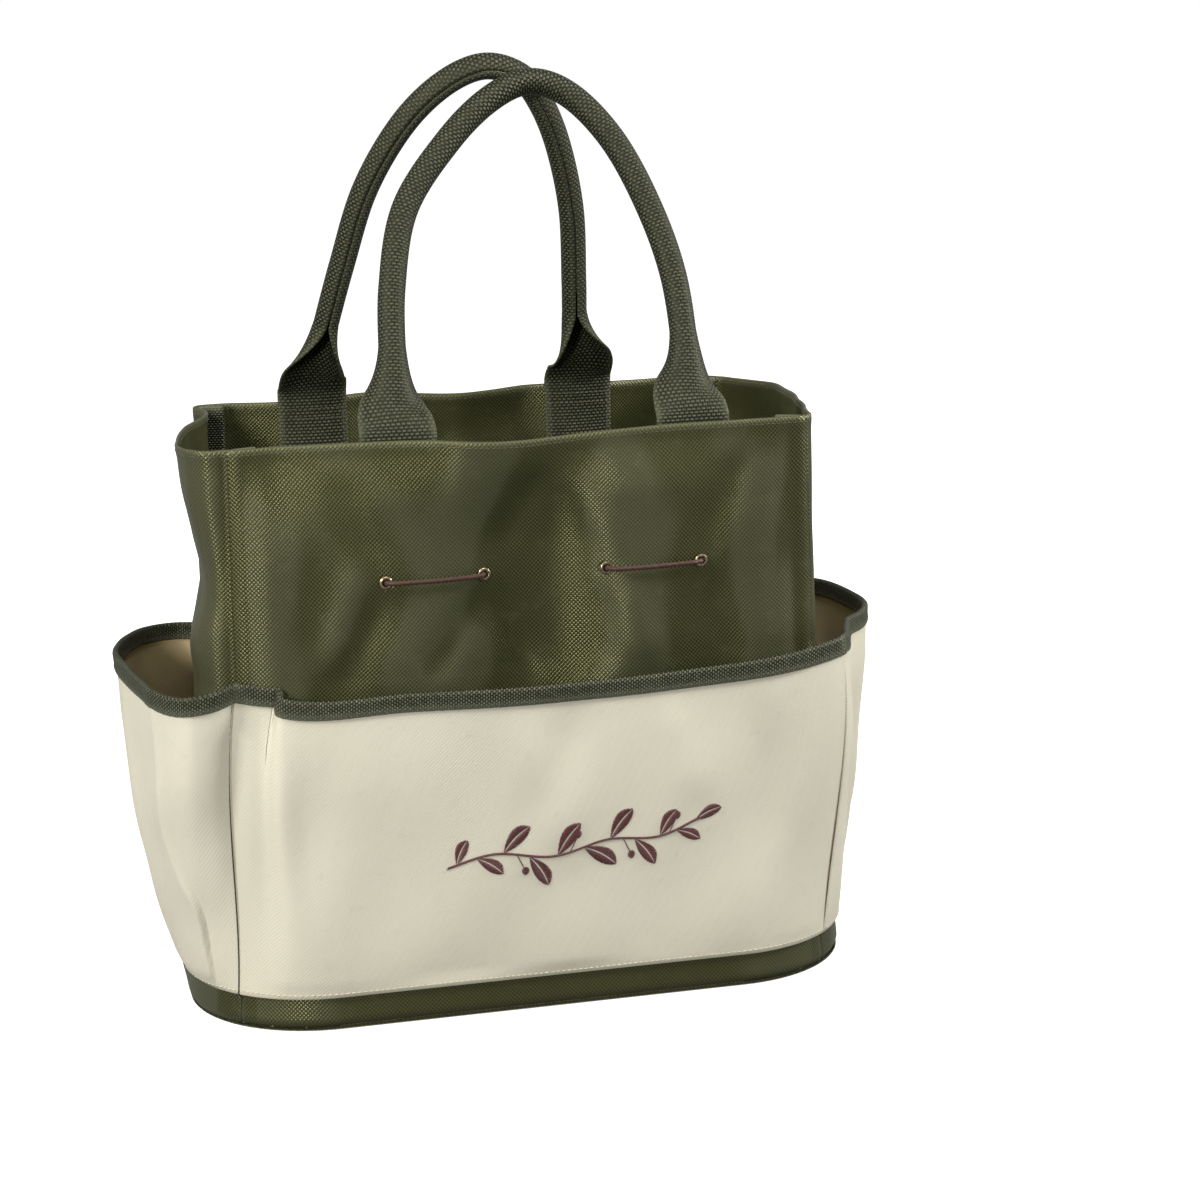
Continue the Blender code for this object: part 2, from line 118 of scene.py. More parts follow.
def make_camera():
    yaw, pitch, roll = (math.radians(angle) for angle in CAMERA_TURN)
    forward = Vector((math.sin(yaw) * math.cos(pitch), math.cos(yaw) * math.cos(pitch), -math.sin(pitch)))
    level = Vector((math.cos(yaw), -math.sin(yaw), 0.0))
    above = level.cross(forward)
    right = level * math.cos(roll) + above * math.sin(roll)
    up = above * math.cos(roll) - level * math.sin(roll)
    camera = bpy.data.objects.new("camera", bpy.data.cameras.new("camera"))
    camera.data.sensor_width = 36.0
    camera.data.lens = 80.75
    camera.data.clip_start = 0.05
    turn = Matrix((right, up, -forward)).transposed().to_4x4()
    camera.matrix_world = Matrix.Translation(CAMERA_PLACE) @ turn
    bpy.context.scene.collection.objects.link(camera)
    bpy.context.scene.camera = camera


make_camera()

# ---- Small numeric helpers, on arrays ----


def smoothstep(value):
    value = np.clip(value, 0.0, 1.0)
    return value * value * (3 - 2 * value)


def mix(low, high, share):
    return low + (high - low) * share


def curve_through(points, at):
    """A smooth curve through rows of (place, value, ...), read at each place in at."""
    table = np.array(points, float)
    places, values = table[:, 0], table[:, 1:]
    slopes = np.gradient(values, places, axis=0)
    at = np.clip(np.asarray(at, float), places[0], places[-1])
    index = np.clip(np.searchsorted(places, at, side="right") - 1, 0, len(places) - 2)
    step = (places[index + 1] - places[index])[..., None]
    s = (at[..., None] - places[index][..., None]) / step
    low, high = values[index], values[index + 1]
    rise = (3 - 2 * s) * s * s
    bent = s * (1 - s) * (slopes[index] * (1 - s) - slopes[index + 1] * s) * step
    result = low + (high - low) * rise + bent
    return result[..., 0] if result.shape[-1] == 1 else result


def run_along(line):
    """Length so far at each point of a line."""
    return np.concatenate([[0.0], np.cumsum(np.linalg.norm(np.diff(line, axis=0), axis=1))])


def read_along(table, run, at):
    """Rows of a table at given lengths along a line."""
    return np.stack([np.interp(at, run, table[:, axis]) for axis in range(table.shape[1])], axis=-1)


def unit(vectors):
    return vectors / np.linalg.norm(vectors, axis=-1, keepdims=True)


def along_outline(points, share):
    """Points at even shares of the length of a smooth outline through the given points."""
    points = np.array(points, float)
    steps = run_along(points)
    line = curve_through(np.column_stack([steps / steps[-1], points]), np.linspace(0, 1, 600))
    run = run_along(line)
    return read_along(line, run / run[-1], share)


def smooth_path(points, step):
    """Points about a step apart on a smooth line through the given points."""
    points = np.array(points, float)
    gaps = run_along(points)
    count = int(gaps[-1] / step)
    line = curve_through(np.column_stack([gaps, points]), np.linspace(0, gaps[-1], count * 3))
    run = run_along(line)
    return read_along(line, run, np.linspace(0, run[-1], count))


def stroke(x, z, x0, z0, x1, z1, width, amount):
    """A soft fold from one point to another: 1 along its line, fading to both sides and at its ends."""
    dx, dz = x1 - x0, z1 - z0
    length = math.hypot(dx, dz)
    along = ((x - x0) * dx + (z - z0) * dz) / length
    across = ((x - x0) * dz - (z - z0) * dx) / length
    taper = max(2 * width, 0.5 * length)
    ends = smoothstep((along + width) / taper) * smoothstep((length + width - along) / taper)
    return amount * np.exp(-((across / width) ** 2)) * ends


def waves(x, z, seed, length, amount):
    """Low unevenness of cloth: a few waves of random direction, each about the given length."""
    draw = random.Random(seed)
    total = np.zeros_like(x * 1.0)
    for _ in range(7):
        turn = draw.uniform(0, math.pi)
        size = length * draw.uniform(0.6, 1.6)
        phase = draw.uniform(0, 2 * math.pi)
        total += np.sin(2 * math.pi * (x * math.cos(turn) + z * math.sin(turn)) / size + phase)
    return total * amount / 3.0


# ---- The bag's outline ----


def half_width(z):
    lower = mix(HALF_WIDTH_BASE, HALF_WIDTH_MID, np.minimum(z / POCKET_TOP, 1.0))
    above = np.clip((z - POCKET_TOP) / (HEIGHT - POCKET_TOP), 0, 1)
    return lower + (HALF_WIDTH_RIM - HALF_WIDTH_MID) * above


def half_depth(z):
    return mix(HALF_DEPTH_BASE, HALF_DEPTH_RIM, np.minimum(z / POCKET_TOP, 1.0))


def corner_radius(z):
    return mix(CORNER_BASE, CORNER_RIM, smoothstep(z / CORNER_RISE))


def face_point(face, t, z, out):
    """Points on a face at t from its left seam (0) to its right seam (1), out from the wall's outer side."""
    radius = corner_radius(z)
    reach, half_run = (half_depth(z), half_width(z)) if face in PANELS else (half_width(z), half_depth(z))
    half_run = half_run - radius
    straight = np.clip((t - CORNER_SHARE) / (1 - 2 * CORNER_SHARE), 0, 1)
    turn = np.where(t < CORNER_SHARE, t / CORNER_SHARE - 1, 0.0)
    turn = np.where(t > 1 - CORNER_SHARE, 1 - (1 - t) / CORNER_SHARE, turn) * math.pi / 4
    along = mix(-half_run, half_run, straight)
    facing = math.radians(FACES[face])
    cos, sin = math.cos(facing), math.sin(facing)
    x = cos * (reach - radius) - sin * along + np.cos(facing + turn) * (radius + out)
    y = sin * (reach - radius) + cos * along + np.sin(facing + turn) * (radius + out)
    return np.stack([x, y, z + 0 * t], axis=-1)


# Rows of the tables below: place along the wall, then how far it bows, sags or stands out.
RIM_BOW = {
    "front": mm(
        (-152, 0), (-129, -4.5), (-102, -1.2), (-84, 0), (-65, 0.6), (-46, 3), (-32, 7.8), (-18, 10), (0, 9.2),
        (20, 6.2), (44, 2.4), (60, 0.8), (75, 0), (89, 0), (106, 0), (122, -1.8), (138, -1.2), (152, 0),
    ),
    "rear": mm(
        (-152, 0), (-130, 5), (-110, 2.2), (-98, 0.6), (-85, 0), (-71, 1.5), (-54, 8), (-30, 5.2), (0, 3),
        (20, 6.8), (38, 9.5), (53, 4), (69, 0.6), (84, 1.2), (100, 6.5), (126, 10.8), (144, 4.5), (152, 0),
    ),
}
RIM_SAG = {
    "front": mm(
        (-152, 0), (-52, 0.2), (-8, 2.6), (48, 0.2), (152, 0),
    ),
    "rear": mm(
        (-152, 0), (-110, 1.2), (-60, -0.8), (0, 2.2), (60, -0.6), (120, 1.2), (152, 0),
    ),
}
PANEL_BODY = {
    "front": mm(
        (-152, 0), (-140, 2.8), (-122, 3.4), (-106, 3.2), (-90, 3.8), (-70, 5.2), (-48, 5.4), (-36, 3.8),
        (-24, 0.6), (-10, -3), (6, -4.6), (16, -4), (25, -1), (34, 4), (43, 8), (54, 9.4), (70, 8), (92, 5.2),
        (108, 5.8), (120, 6.2), (134, 4.2), (146, 0.4), (152, 0),
    ),
    "rear": mm(
        (-152, 0), (-120, 3.6), (-70, -2), (-20, 4.2), (30, -2.4), (80, 3), (125, 4.4), (152, 0),
    ),
}
# Folds: from (x, z) to (x, z), then half width and height.
PANEL_FOLDS = {
    "front": mm(
        (-21, 240, 10, 296, 9, -2.2), (16, 300, 44, 240, 9, 2), (44, 228, 64, 180, 9, 2.2),
        (-23.5, 226, -56, 180, 9, -2.2), (-23.5, 226, 4, 176, 8, -2.4), (39.5, 226, 36, 180, 8, -2.4),
        (-75, 226, -102, 178, 9, -1.8), (90.5, 226, 112, 178, 9, -2), (90.5, 240, 115, 290, 10, -1.8),
        (-75, 240, -100, 288, 10, -1.4), (-88, 250, -104, 180, 10, 1.8), (138, 290, 128, 205, 7, -1.6),
    ),
    "rear": mm(
        (-100, 290, -80, 200, 10, -1.4), (-20, 300, 10, 190, 12, 1.6), (60, 295, 90, 200, 10, -1.4),
        (120, 290, 105, 190, 10, 1.2),
    ),
}


RIM_BOW_FOOT = {"front": 0.246, "rear": 0.190}
RIM_SAG_FOOT = 0.235
BODY_FOOT, BODY_RISE = 0.120, 0.080
PANEL_EDGE, GUSSET_EDGE = 0.150, 0.084
UNEVEN_LENGTH = {"panel": 0.075, "gusset": 0.055, "pocket": 0.085, "plate": 0.090}
UNEVEN_HEIGHT = {"panel": 0.0005, "gusset": 0.0007, "pocket": 0.0010}
WALL_SEED = {"front": 3, "rear": 5, "left": 7, "right": 9}


def panel_shift(face, x, z):
    """How far the cloth of the front or rear panel stands out from its flat place."""
    foot = RIM_BOW_FOOT[face]
    rim = curve_through(RIM_BOW[face], x) * smoothstep((z - foot) / (HEIGHT - foot))
    body = curve_through(PANEL_BODY[face], x)
    lift = smoothstep((z - BODY_FOOT) / BODY_RISE) * (1 - 0.60 * smoothstep((z - 0.270) / 0.034))
    folds = sum(stroke(x, z, *fold) for fold in PANEL_FOLDS[face])
    edges = smoothstep((PANEL_EDGE - np.abs(x)) / 0.016)
    uneven = waves(x, z, WALL_SEED[face], UNEVEN_LENGTH["panel"], UNEVEN_HEIGHT["panel"])
    uneven = uneven * edges * smoothstep((z - 0.01) / 0.03)
    rim_hold = 1 - 0.8 * smoothstep((z - 0.278) / 0.024)
    return rim + (body * lift + (folds + uneven) * rim_hold) * edges


def panel_sag(face, x, z):
    return curve_through(RIM_SAG[face], x) * smoothstep((z - RIM_SAG_FOOT) / (HEIGHT - RIM_SAG_FOOT))


BULGE = {
    "left": mm(
        (-86, 0), (-81.5, 8), (-76, 15), (-67, 18.5), (-39, 17.5), (6, 9.5), (30, 0), (51, -6.2), (70, -5.6),
        (79, -2.5), (86, 0),
    ),
    "right": mm(
        (-86, 0), (-75, 2), (-56, 5.8), (-34, 10.8), (-2, 16.2), (30, 19), (45, 18.2), (60, 10.8), (70, 5),
        (79, 1.2), (86, 0),
    ),
}
# The share of the bulge at each height.
SWELL = {
    "left": (
        (0.0, 0.05), (0.05, 0.20), (0.12, 0.42), (0.170, 0.66), (0.208, 0.76), (0.225, 0.52), (0.236, 0.50),
        (0.255, 0.66), (0.275, 0.84), (0.304, 1.0),
    ),
    "right": (
        (0.0, 0.05), (0.05, 0.18), (0.12, 0.36), (0.175, 0.52), (0.212, 0.58), (0.232, 0.46), (0.250, 0.58),
        (0.276, 0.82), (0.304, 1.0),
    ),
}


# Creases of both gussets, as the folds above, in y and z.
GUSSET_CREASES = mm((-70, 250, 60, 214, 10, -2.2), (-58, 298, -46, 200, 7, -1.6), (20, 296, 34, 206, 9, 1.8))


def gusset_shift(face, y, z):
    """How far a gusset's cloth stands out from its flat place."""
    plan = curve_through(BULGE[face], np.clip(y, -0.086, 0.086))
    swell = curve_through(SWELL[face], z)
    # The bulge ends at the seam, or daylight shows between the gusset and the panel.
    plan = plan * smoothstep((0.0846 - np.abs(y)) / 0.0045)
    edges = smoothstep((GUSSET_EDGE - np.abs(y)) / 0.014)
    first, *others = GUSSET_CREASES
    crease = stroke(y, z, *first)
    for fold in others:
        crease += stroke(y, z, *fold)
    uneven = waves(y, z, WALL_SEED[face], UNEVEN_LENGTH["gusset"], UNEVEN_HEIGHT["gusset"])
    fade = smoothstep((z - 0.02) / 0.08)
    return plan * swell + (crease + uneven) * edges * fade


# ---- Pockets ----

# Where the pockets' mouths meet, in millimetres.
FRONT_LEFT_SEAM = (-153.8, -90.5)
FRONT_RIGHT_SEAM = (167.2, -92.5)
REAR_LEFT_SEAM = (-154.5, 88.5)
REAR_RIGHT_SEAM = (155, 88.5)
# Plan of each mouth, from its left seam to its right seam.
MOUTHS = {
    "front": mm(
        FRONT_LEFT_SEAM, (-145, -92.6), (-136, -93.8), (-132.2, -94.4), (-131.2, -95.4), (-130.8, -98.4),
        (-130, -100.8), (-128.2, -102.2), (-124, -103), (-110, -104.2), (-80, -106.2), (-40, -108.4),
        (0, -109.4), (40, -109), (80, -107.2), (115, -104.6), (145, -100.5), (160, -96.2), FRONT_RIGHT_SEAM,
    ),
    "right": mm(
        FRONT_RIGHT_SEAM, (172.5, -80), (179, -60), (187, -44), (198.5, -33), (206, -18), (208.8, 13),
        (207, 40), (200, 64), (185, 83), (168, 90.5), REAR_RIGHT_SEAM,
    ),
    "rear": mm(
        REAR_RIGHT_SEAM, (140, 94.5), (115, 99), (80, 101.8), (40, 104.6), (0, 105.8), (-40, 105), (-80, 103),
        (-115, 99.8), (-140, 95), REAR_LEFT_SEAM,
    ),
    "left": mm(
        REAR_LEFT_SEAM, (-168, 88.5), (-185, 77.5), (-198.5, 52), (-204.5, 22), (-206.8, -4), (-204.2, -31),
        (-197.5, -62), (-188, -88), (-176, -98.5), (-164, -98), FRONT_LEFT_SEAM,
    ),
}
# Height of each mouth at shares of its run.
MOUTH_Z = {
    "front": (
        (0.0, 0.1852), (0.04, 0.1828), (0.062, 0.1818), (0.072, 0.1812), (0.080, 0.1786), (0.090, 0.1778),
        (0.30, 0.1762), (0.50, 0.1754), (0.72, 0.1768), (0.90, 0.1806), (1.0, 0.1846),
    ),
    "right": ((0.0, 0.1846), (0.12, 0.1826), (0.30, 0.1838), (0.55, 0.1850), (0.85, 0.1822), (1.0, 0.1800)),
    "rear": ((0.0, 0.1800), (0.10, 0.1790), (0.50, 0.1764), (0.90, 0.1786), (1.0, 0.1790)),
    "left": ((0.0, 0.1790), (0.20, 0.1820), (0.45, 0.1850), (0.70, 0.1838), (0.86, 0.1808), (1.0, 0.1852)),
}
# The power that a pocket opens with: 1 opens evenly, less opens low down.
FULLNESS = {"front": 0.80, "rear": 0.80, "left": 0.62, "right": 0.60}
FOLD_DEPTH = 1.5
STEP_FOOT, STEP_RISE = 0.76, 0.22
SEAM_OVERLAP = 0.001
POCKET_SEED = {"front": 11, "rear": 12, "left": 13, "right": 14}
POCKET_RUN = {"front": 0.33, "rear": 0.33, "left": 0.25, "right": 0.25}
POCKET_FOLDS = {
    "front": mm(
        (30, 176, 33, 40, 8, 0.7), (150, 165, 176, 80, 14, 1.4), (185, 172, 150, 90, 12, -1.2),
        (80, 160, 60, 60, 16, 1.2), (262, 170, 285, 50, 14, -1.4), (225, 160, 235, 110, 10, 1),
    ),
    "rear": mm(
        (50, 170, 60, 60, 12, -1.4), (160, 170, 130, 70, 14, 1.4), (250, 170, 270, 70, 12, -1.4),
    ),
    "left": mm(
        (140, 180, 156, 40, 11, 1.8), (90, 180, 80, 40, 13, -2), (45, 170, 50, 30, 11, 1.6),
    ),
    "right": mm(
        (52, 170, 46, 40, 7, -2.6), (34, 160, 40, 30, 6, 2), (120, 170, 130, 70, 12, 2),
        (180, 165, 172, 60, 11, -2.2),
    ),
}
LEFT_PLEAT_LINE = mm(
    (18, 234.5), (40, 230), (65, 224.5), (85, 212), (106, 200), (135, 194), (170, 190), (190, 188),
)
LEFT_PLEAT_RISE = mm(
    (18, 1.4), (30, 2.2), (50, 2.6), (68, 2.6), (90, 2.4), (130, 2), (190, 0.8),
)


def left_pleat(run, z):
    """The left pocket's fold: it climbs to a ridge and drops behind it, more sharply toward the base."""
    past = run - curve_through(LEFT_PLEAT_LINE, z)
    drop = mix(0.0009, 0.0075, smoothstep((z - 0.055) / 0.060))
    before = np.exp(np.minimum(past, 0) / 0.016)
    behind = np.maximum(past, 0)
    after = 1.5 * np.exp(-((behind / drop) ** 2)) - 0.5 * np.exp(-behind / 0.0038)
    return curve_through(LEFT_PLEAT_RISE, z) * np.where(past < 0, before, after)


def pocket_point(face, u, v):
    """Points of a pocket's cloth, at u from seam to seam and v from its foot to its top edge."""
    z = mix(POCKET_FOOT, curve_through(MOUTH_Z[face], u), v)
    rise = np.clip((z - POCKET_FOOT) / (POCKET_TOP - POCKET_FOOT), 0, 1.02)
    wide = mix(-SEAM_OVERLAP, 1 + SEAM_OVERLAP, u)
    spot = face_point(face, wide, z, POCKET_OFF_WALL)
    rim = face_point(face, wide, np.full_like(z, POCKET_TOP), POCKET_OFF_WALL)
    mouth = along_outline(MOUTHS[face], u)
    if face == "front":
        # The step in this mouth is folded cloth, so it fades out below the binding.
        plain = along_outline(MOUTHS[face][:3] + MOUTHS[face][8:], u)
        mouth = mix(plain, mouth, (0.03 + 0.97 * smoothstep((v - STEP_FOOT) / STEP_RISE))[..., None])
    spot[..., :2] += (mouth - rim[..., :2]) * (rise ** FULLNESS[face])[..., None]
    facing = np.arctan2(spot[..., 1], spot[..., 0] * 0.6)
    edge = smoothstep(np.minimum(u, 1 - u) / 0.05) * smoothstep(v / 0.06)
    run = u * POCKET_RUN[face]
    move = waves(run, z, POCKET_SEED[face], UNEVEN_LENGTH["pocket"], UNEVEN_HEIGHT["pocket"]) * edge
    for fold in POCKET_FOLDS[face]:
        move = move + FOLD_DEPTH * stroke(run, z, *fold) * edge
    if face == "left":
        move = move + left_pleat(run, z) * edge
    if face in PANELS:
        spot[..., 1] += move * OUT_SIGN[face]
    else:
        spot[..., 0] += move * np.cos(facing)
        spot[..., 1] += move * np.sin(facing)
    return spot


# ---- Materials ----


class Shading:
    """A material's nodes, made in the order that its pattern needs them."""

    def __init__(self, name):
        self.material = bpy.data.materials.new(name)
        self.material.use_nodes = True
        self.tree = self.material.node_tree
        self.shader = self.tree.nodes["Principled BSDF"]
        self.uv = self.node("ShaderNodeTexCoord").outputs["UV"]
        self.place = self.node("ShaderNodeTexCoord").outputs["Object"]
        parts = self.node("ShaderNodeSeparateXYZ")
        self.link(self.uv, parts.inputs[0])
        self.u, self.v = parts.outputs["X"], parts.outputs["Y"]

    def node(self, kind):
        return self.tree.nodes.new(kind)

    def link(self, source, target):
        if isinstance(source, (int, float)):
            target.default_value = source
        elif isinstance(source, tuple):
            target.default_value = (*source, 1.0)
        else:
            self.tree.links.new(source, target)

    def math(self, operation, *values):
        node = self.node("ShaderNodeMath")
        node.operation = operation
        for value, target in zip(values, node.inputs):
            self.link(value, target)
        return node.outputs[0]

    def noise(self, scale, detail=3.0, where=None, roughness=0.55):
        node = self.node("ShaderNodeTexNoise")
        self.link(where or self.place, node.inputs["Vector"])
        node.inputs["Scale"].default_value = scale
        node.inputs["Detail"].default_value = detail
        node.inputs["Roughness"].default_value = roughness
        return node.outputs["Fac"]

    def ranged(self, value, low, high, to_low=0.0, to_high=1.0):
        node = self.node("ShaderNodeMapRange")
        node.interpolation_type = "SMOOTHSTEP"
        for given, target in zip((value, low, high, to_low, to_high), node.inputs):
            self.link(given, target)
        return node.outputs[0]

    def blend(self, share, first, second, kind="MIX"):
        node = self.node("ShaderNodeMix")
        node.data_type = "RGBA"
        node.blend_type = kind
        self.link(share, node.inputs["Factor"])
        self.link(first, node.inputs["A"])
        self.link(second, node.inputs["B"])
        return node.outputs["Result"]

    def attribute(self, name):
        node = self.node("ShaderNodeAttribute")
        node.attribute_name = name
        return node.outputs["Fac"]

    def wave(self, value, pitch, shift=0.0):
        """A sine of a length, one whole turn to each pitch."""
        turns = self.math("MULTIPLY_ADD", value, 2 * math.pi / pitch, shift)
        return self.math("SINE", turns)

    def finish(self, color, roughness, height, depth, strength=1.0, **values):
        self.link(color, self.shader.inputs["Base Color"])
        self.link(roughness, self.shader.inputs["Roughness"])
        bump = self.node("ShaderNodeBump")
        bump.inputs["Strength"].default_value = strength
        bump.inputs["Distance"].default_value = depth
        self.link(height, bump.inputs["Height"])
        self.link(bump.outputs[0], self.shader.inputs["Normal"])
        for name, value in values.items():
            socket = self.shader.inputs[name.replace("_", " ")]
            socket.default_value = (*value, 1.0) if isinstance(value, tuple) else value
        return self.material


def plain_weave(shading, pitch):
    """Height of a plain weave: each thread rises over one crossing and dives under the next."""
    across = shading.wave(shading.u, 2 * pitch)
    along = shading.wave(shading.v, 2 * pitch)
    crossing = shading.math("MULTIPLY", across, along)
    threads = shading.math("ABSOLUTE", shading.math("ADD", across, along))
    return shading.math("MULTIPLY_ADD", crossing, 0.42, shading.math("MULTIPLY_ADD", threads, 0.04, 0.5))


def olive_canvas():
    s = Shading("olive_canvas")
    weave = plain_weave(s, 0.00110)
    slub = s.noise(90.0, 4.0)
    patch = s.noise(7.0, 2.0)
    fade = s.noise(28.0, 3.0)
    dark = s.blend(patch, (0.0022, 0.0024, 0.0008), (0.0032, 0.0034, 0.0011))
    light = s.blend(fade, (0.0420, 0.0442, 0.0165), (0.0540, 0.0562, 0.0215))
    color = s.blend(s.ranged(weave, 0.12, 0.92), dark, light)
    color = s.blend(s.ranged(slub, 0.56, 0.80, 0.0, 0.30), color, (0.072, 0.071, 0.043))
    # Lighter where the edge attribute is high: wear at the cloth's edges, and on the walls a painted highlight along
    # proud fold crests.
    color = s.blend(s.math("MULTIPLY", s.attribute("edge"), 0.45), color, (0.085, 0.086, 0.056))
    height = s.math("MULTIPLY_ADD", slub, 0.15, weave)
    rough = s.ranged(fade, 0.2, 0.8, 0.31, 0.40)
    return s.finish(
        color, rough, height, 0.00036, 0.70, Sheen_Weight=0.05, Sheen_Roughness=0.35,
        Sheen_Tint=(0.80, 0.80, 0.50), Specular_IOR_Level=0.62, Specular_Tint=(1.0, 0.98, 0.50),
    )


def cream_canvas():
    s = Shading("cream_canvas")
    diagonal = s.math("ADD", s.u, s.v)
    twill = s.wave(diagonal, 0.00108)
    cross = s.wave(s.math("SUBTRACT", s.u, s.v), 0.00216)
    weave = s.math("MULTIPLY_ADD", twill, 0.30, s.math("MULTIPLY_ADD", cross, 0.14, 0.5))
    slub = s.noise(160.0, 4.0)
    patch = s.noise(9.0, 3.0)
    base = s.blend(patch, (0.590, 0.560, 0.452), (0.660, 0.634, 0.530))
    color = s.blend(s.ranged(weave, 0.05, 0.80, 0.42, 0.0), base, (0.400, 0.355, 0.245))
    color = s.blend(s.ranged(slub, 0.60, 0.78, 0.0, 0.22), color, (0.440, 0.400, 0.300))
    low = s.ranged(s.v, 0.018, 0.060, 0.22, 0.0)
    color = s.blend(s.math("MULTIPLY", low, s.noise(22.0, 4.0)), color, (0.380, 0.330, 0.225))
    color = s.blend(s.math("MULTIPLY", s.attribute("edge"), 0.30), color, (0.470, 0.420, 0.300))
    height = s.math("MULTIPLY_ADD", slub, 0.35, weave)
    rough = s.ranged(patch, 0.2, 0.8, 0.66, 0.80)
    inner = s.math("MULTIPLY", s.attribute("inside"), 0.85)
    color = s.blend(inner, color, (0.500, 0.375, 0.185))
    return s.finish(
        color, rough, height, 0.00030, 0.70, Sheen_Weight=0.08, Sheen_Roughness=0.5, Specular_IOR_Level=0.34,
    )


def webbing(name, row, column, dark, light, contrast):
    """Ribbed webbing: staggered light floats in rows across a dark ground."""
    s = Shading(name)
    rows = s.math("DIVIDE", s.v, row)
    # Every other row is shifted by half a float. The added rows keep the count above zero.
    odd = s.math("MULTIPLY", s.math("FLOOR", s.math("MODULO", s.math("ADD", rows, 4000.0), 2.0)), math.pi)
    across = s.math("SINE", s.math("MULTIPLY_ADD", s.u, 2 * math.pi / column, odd))
    bar = s.math("ABSOLUTE", s.math("SINE", s.math("MULTIPLY", rows, math.pi)))
    float_height = s.math("MULTIPLY", s.ranged(across, -0.90, 0.30), s.math("POWER", bar, 2.2))
    shade = s.noise(14.0, 3.0)
    fuzz = s.noise(420.0, 3.0)
    bright = s.math("MULTIPLY", float_height, s.ranged(fuzz, 0.25, 0.70, 0.45, contrast))
    lit = s.blend(shade, light, tuple(value * 1.25 for value in light))
    color = s.blend(bright, dark, lit)
    wear_and_highlight = tuple(value * 1.1 for value in light)
    color = s.blend(s.math("MULTIPLY", s.attribute("edge"), 0.55), color, wear_and_highlight)
    height = s.math("MULTIPLY_ADD", fuzz, 0.12, float_height)
    rough = s.ranged(shade, 0.2, 0.8, 0.46, 0.62)
    return s.finish(
        color, rough, height, 0.00045, 0.85, Sheen_Weight=0.03, Sheen_Roughness=0.4,
        Sheen_Tint=(0.75, 0.80, 0.60), Specular_IOR_Level=0.30, Specular_Tint=(1.0, 1.0, 0.75),
    )


def spun(name, first, second, scale, roughness, sheen=0.3, gloss=0.35):
    """Spun thread or cord: fine fibres with a soft change of tone along it."""
    s = Shading(name)
    fibre = s.noise(scale, 5.0, roughness=0.7)
    tone = s.noise(60.0, 2.0)
    color = s.blend(s.ranged(fibre, 0.30, 0.70), first, second)
    color = s.blend(s.ranged(tone, 0.35, 0.75, 0.0, 0.35), color, tuple(value * 0.62 for value in first))
    return s.finish(
        color, s.ranged(tone, 0.2, 0.8, roughness - 0.08, roughness + 0.06), fibre, 0.00025, 0.7,
        Sheen_Weight=sheen, Sheen_Roughness=0.4, Specular_IOR_Level=gloss,
    )


def brass():
    s = Shading("brass")
    patina = s.noise(700.0, 4.0)
    scratch = s.noise(2600.0, 2.0)
    color = s.blend(s.ranged(patina, 0.36, 0.62), (0.46, 0.38, 0.25), (0.13, 0.095, 0.058))
    rough = s.ranged(patina, 0.3, 0.7, 0.26, 0.50)
    return s.finish(color, rough, scratch, 0.00004, 0.5, Metallic=1.0)


def board():
    s = Shading("board")
    fibre = s.noise(240.0, 6.0, roughness=0.7)
    patch = s.noise(16.0, 3.0)
    color = s.blend(s.ranged(fibre, 0.3, 0.7), (0.30, 0.235, 0.155), (0.42, 0.34, 0.24))
    color = s.blend(s.ranged(patch, 0.4, 0.7, 0.0, 0.3), color, (0.24, 0.18, 0.12))
    return s.finish(color, s.ranged(patch, 0.2, 0.8, 0.74, 0.88), fibre, 0.0003, 0.6, Specular_IOR_Level=0.25)


OLIVE = olive_canvas()
CREAM = cream_canvas()
WEBBING = webbing("webbing", 0.0018, 0.0026, (0.0022, 0.0028, 0.0010), (0.076, 0.081, 0.047), 1.25)
BINDING = webbing("binding", 0.0013, 0.0020, (0.0026, 0.0034, 0.0014), (0.120, 0.127, 0.084), 1.35)
OLIVE_THREAD = spun("olive_thread", (0.050, 0.050, 0.030), (0.105, 0.105, 0.068), 900.0, 0.55)
DARK_THREAD = spun("dark_thread", (0.016, 0.017, 0.010), (0.060, 0.062, 0.044), 900.0, 0.50)
CREAM_THREAD = spun("cream_thread", (0.50, 0.46, 0.35), (0.66, 0.62, 0.50), 900.0, 0.60)
MAROON_THREAD = spun("maroon_thread", (0.048, 0.010, 0.011), (0.150, 0.040, 0.042), 1300.0, 0.34, 0.25, 0.60)
LACE = spun("lace", (0.030, 0.011, 0.007), (0.078, 0.034, 0.022), 1100.0, 0.52, 0.12)
CORE = spun("core_cord", (0.50, 0.47, 0.40), (0.66, 0.63, 0.56), 500.0, 0.75)
BRASS = brass()
BOARD = board()

# ---- Meshes ----


def add_mesh(name, verts, faces, material, body, slot=None, uvs=None, edge=None, inside=None):
    """A smooth-shaded piece riding on a body. uvs, edge and inside are one row for each vertex."""
    mesh = bpy.data.meshes.new(name)
    mesh.from_pydata([tuple(v) for v in verts], [], faces)
    loops = np.empty(len(mesh.loops), dtype=np.int64)
    mesh.loops.foreach_get("vertex_index", loops)
    layer = mesh.uv_layers.new(name="cloth")
    if uvs is not None:
        layer.data.foreach_set("uv", np.asarray(uvs, np.float32)[loops].ravel())
    shade = mesh.attributes.new("edge", "FLOAT", "POINT")
    if edge is not None:
        shade.data.foreach_set("value", np.asarray(edge, np.float32))
    if inside is not None:
        hidden = mesh.attributes.new("inside", "FLOAT", "POINT")
        hidden.data.foreach_set("value", np.asarray(inside, np.float32))
    mesh.shade_smooth()
    mesh.materials.append(material)
    piece = bpy.data.objects.new(name, mesh)
    bpy.context.scene.collection.objects.link(piece)
    if body:
        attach(piece, body)
    return piece


TINY = 1e-12
EDGE_WEAR = 0.0022
EDGE_ROUND = 0.42


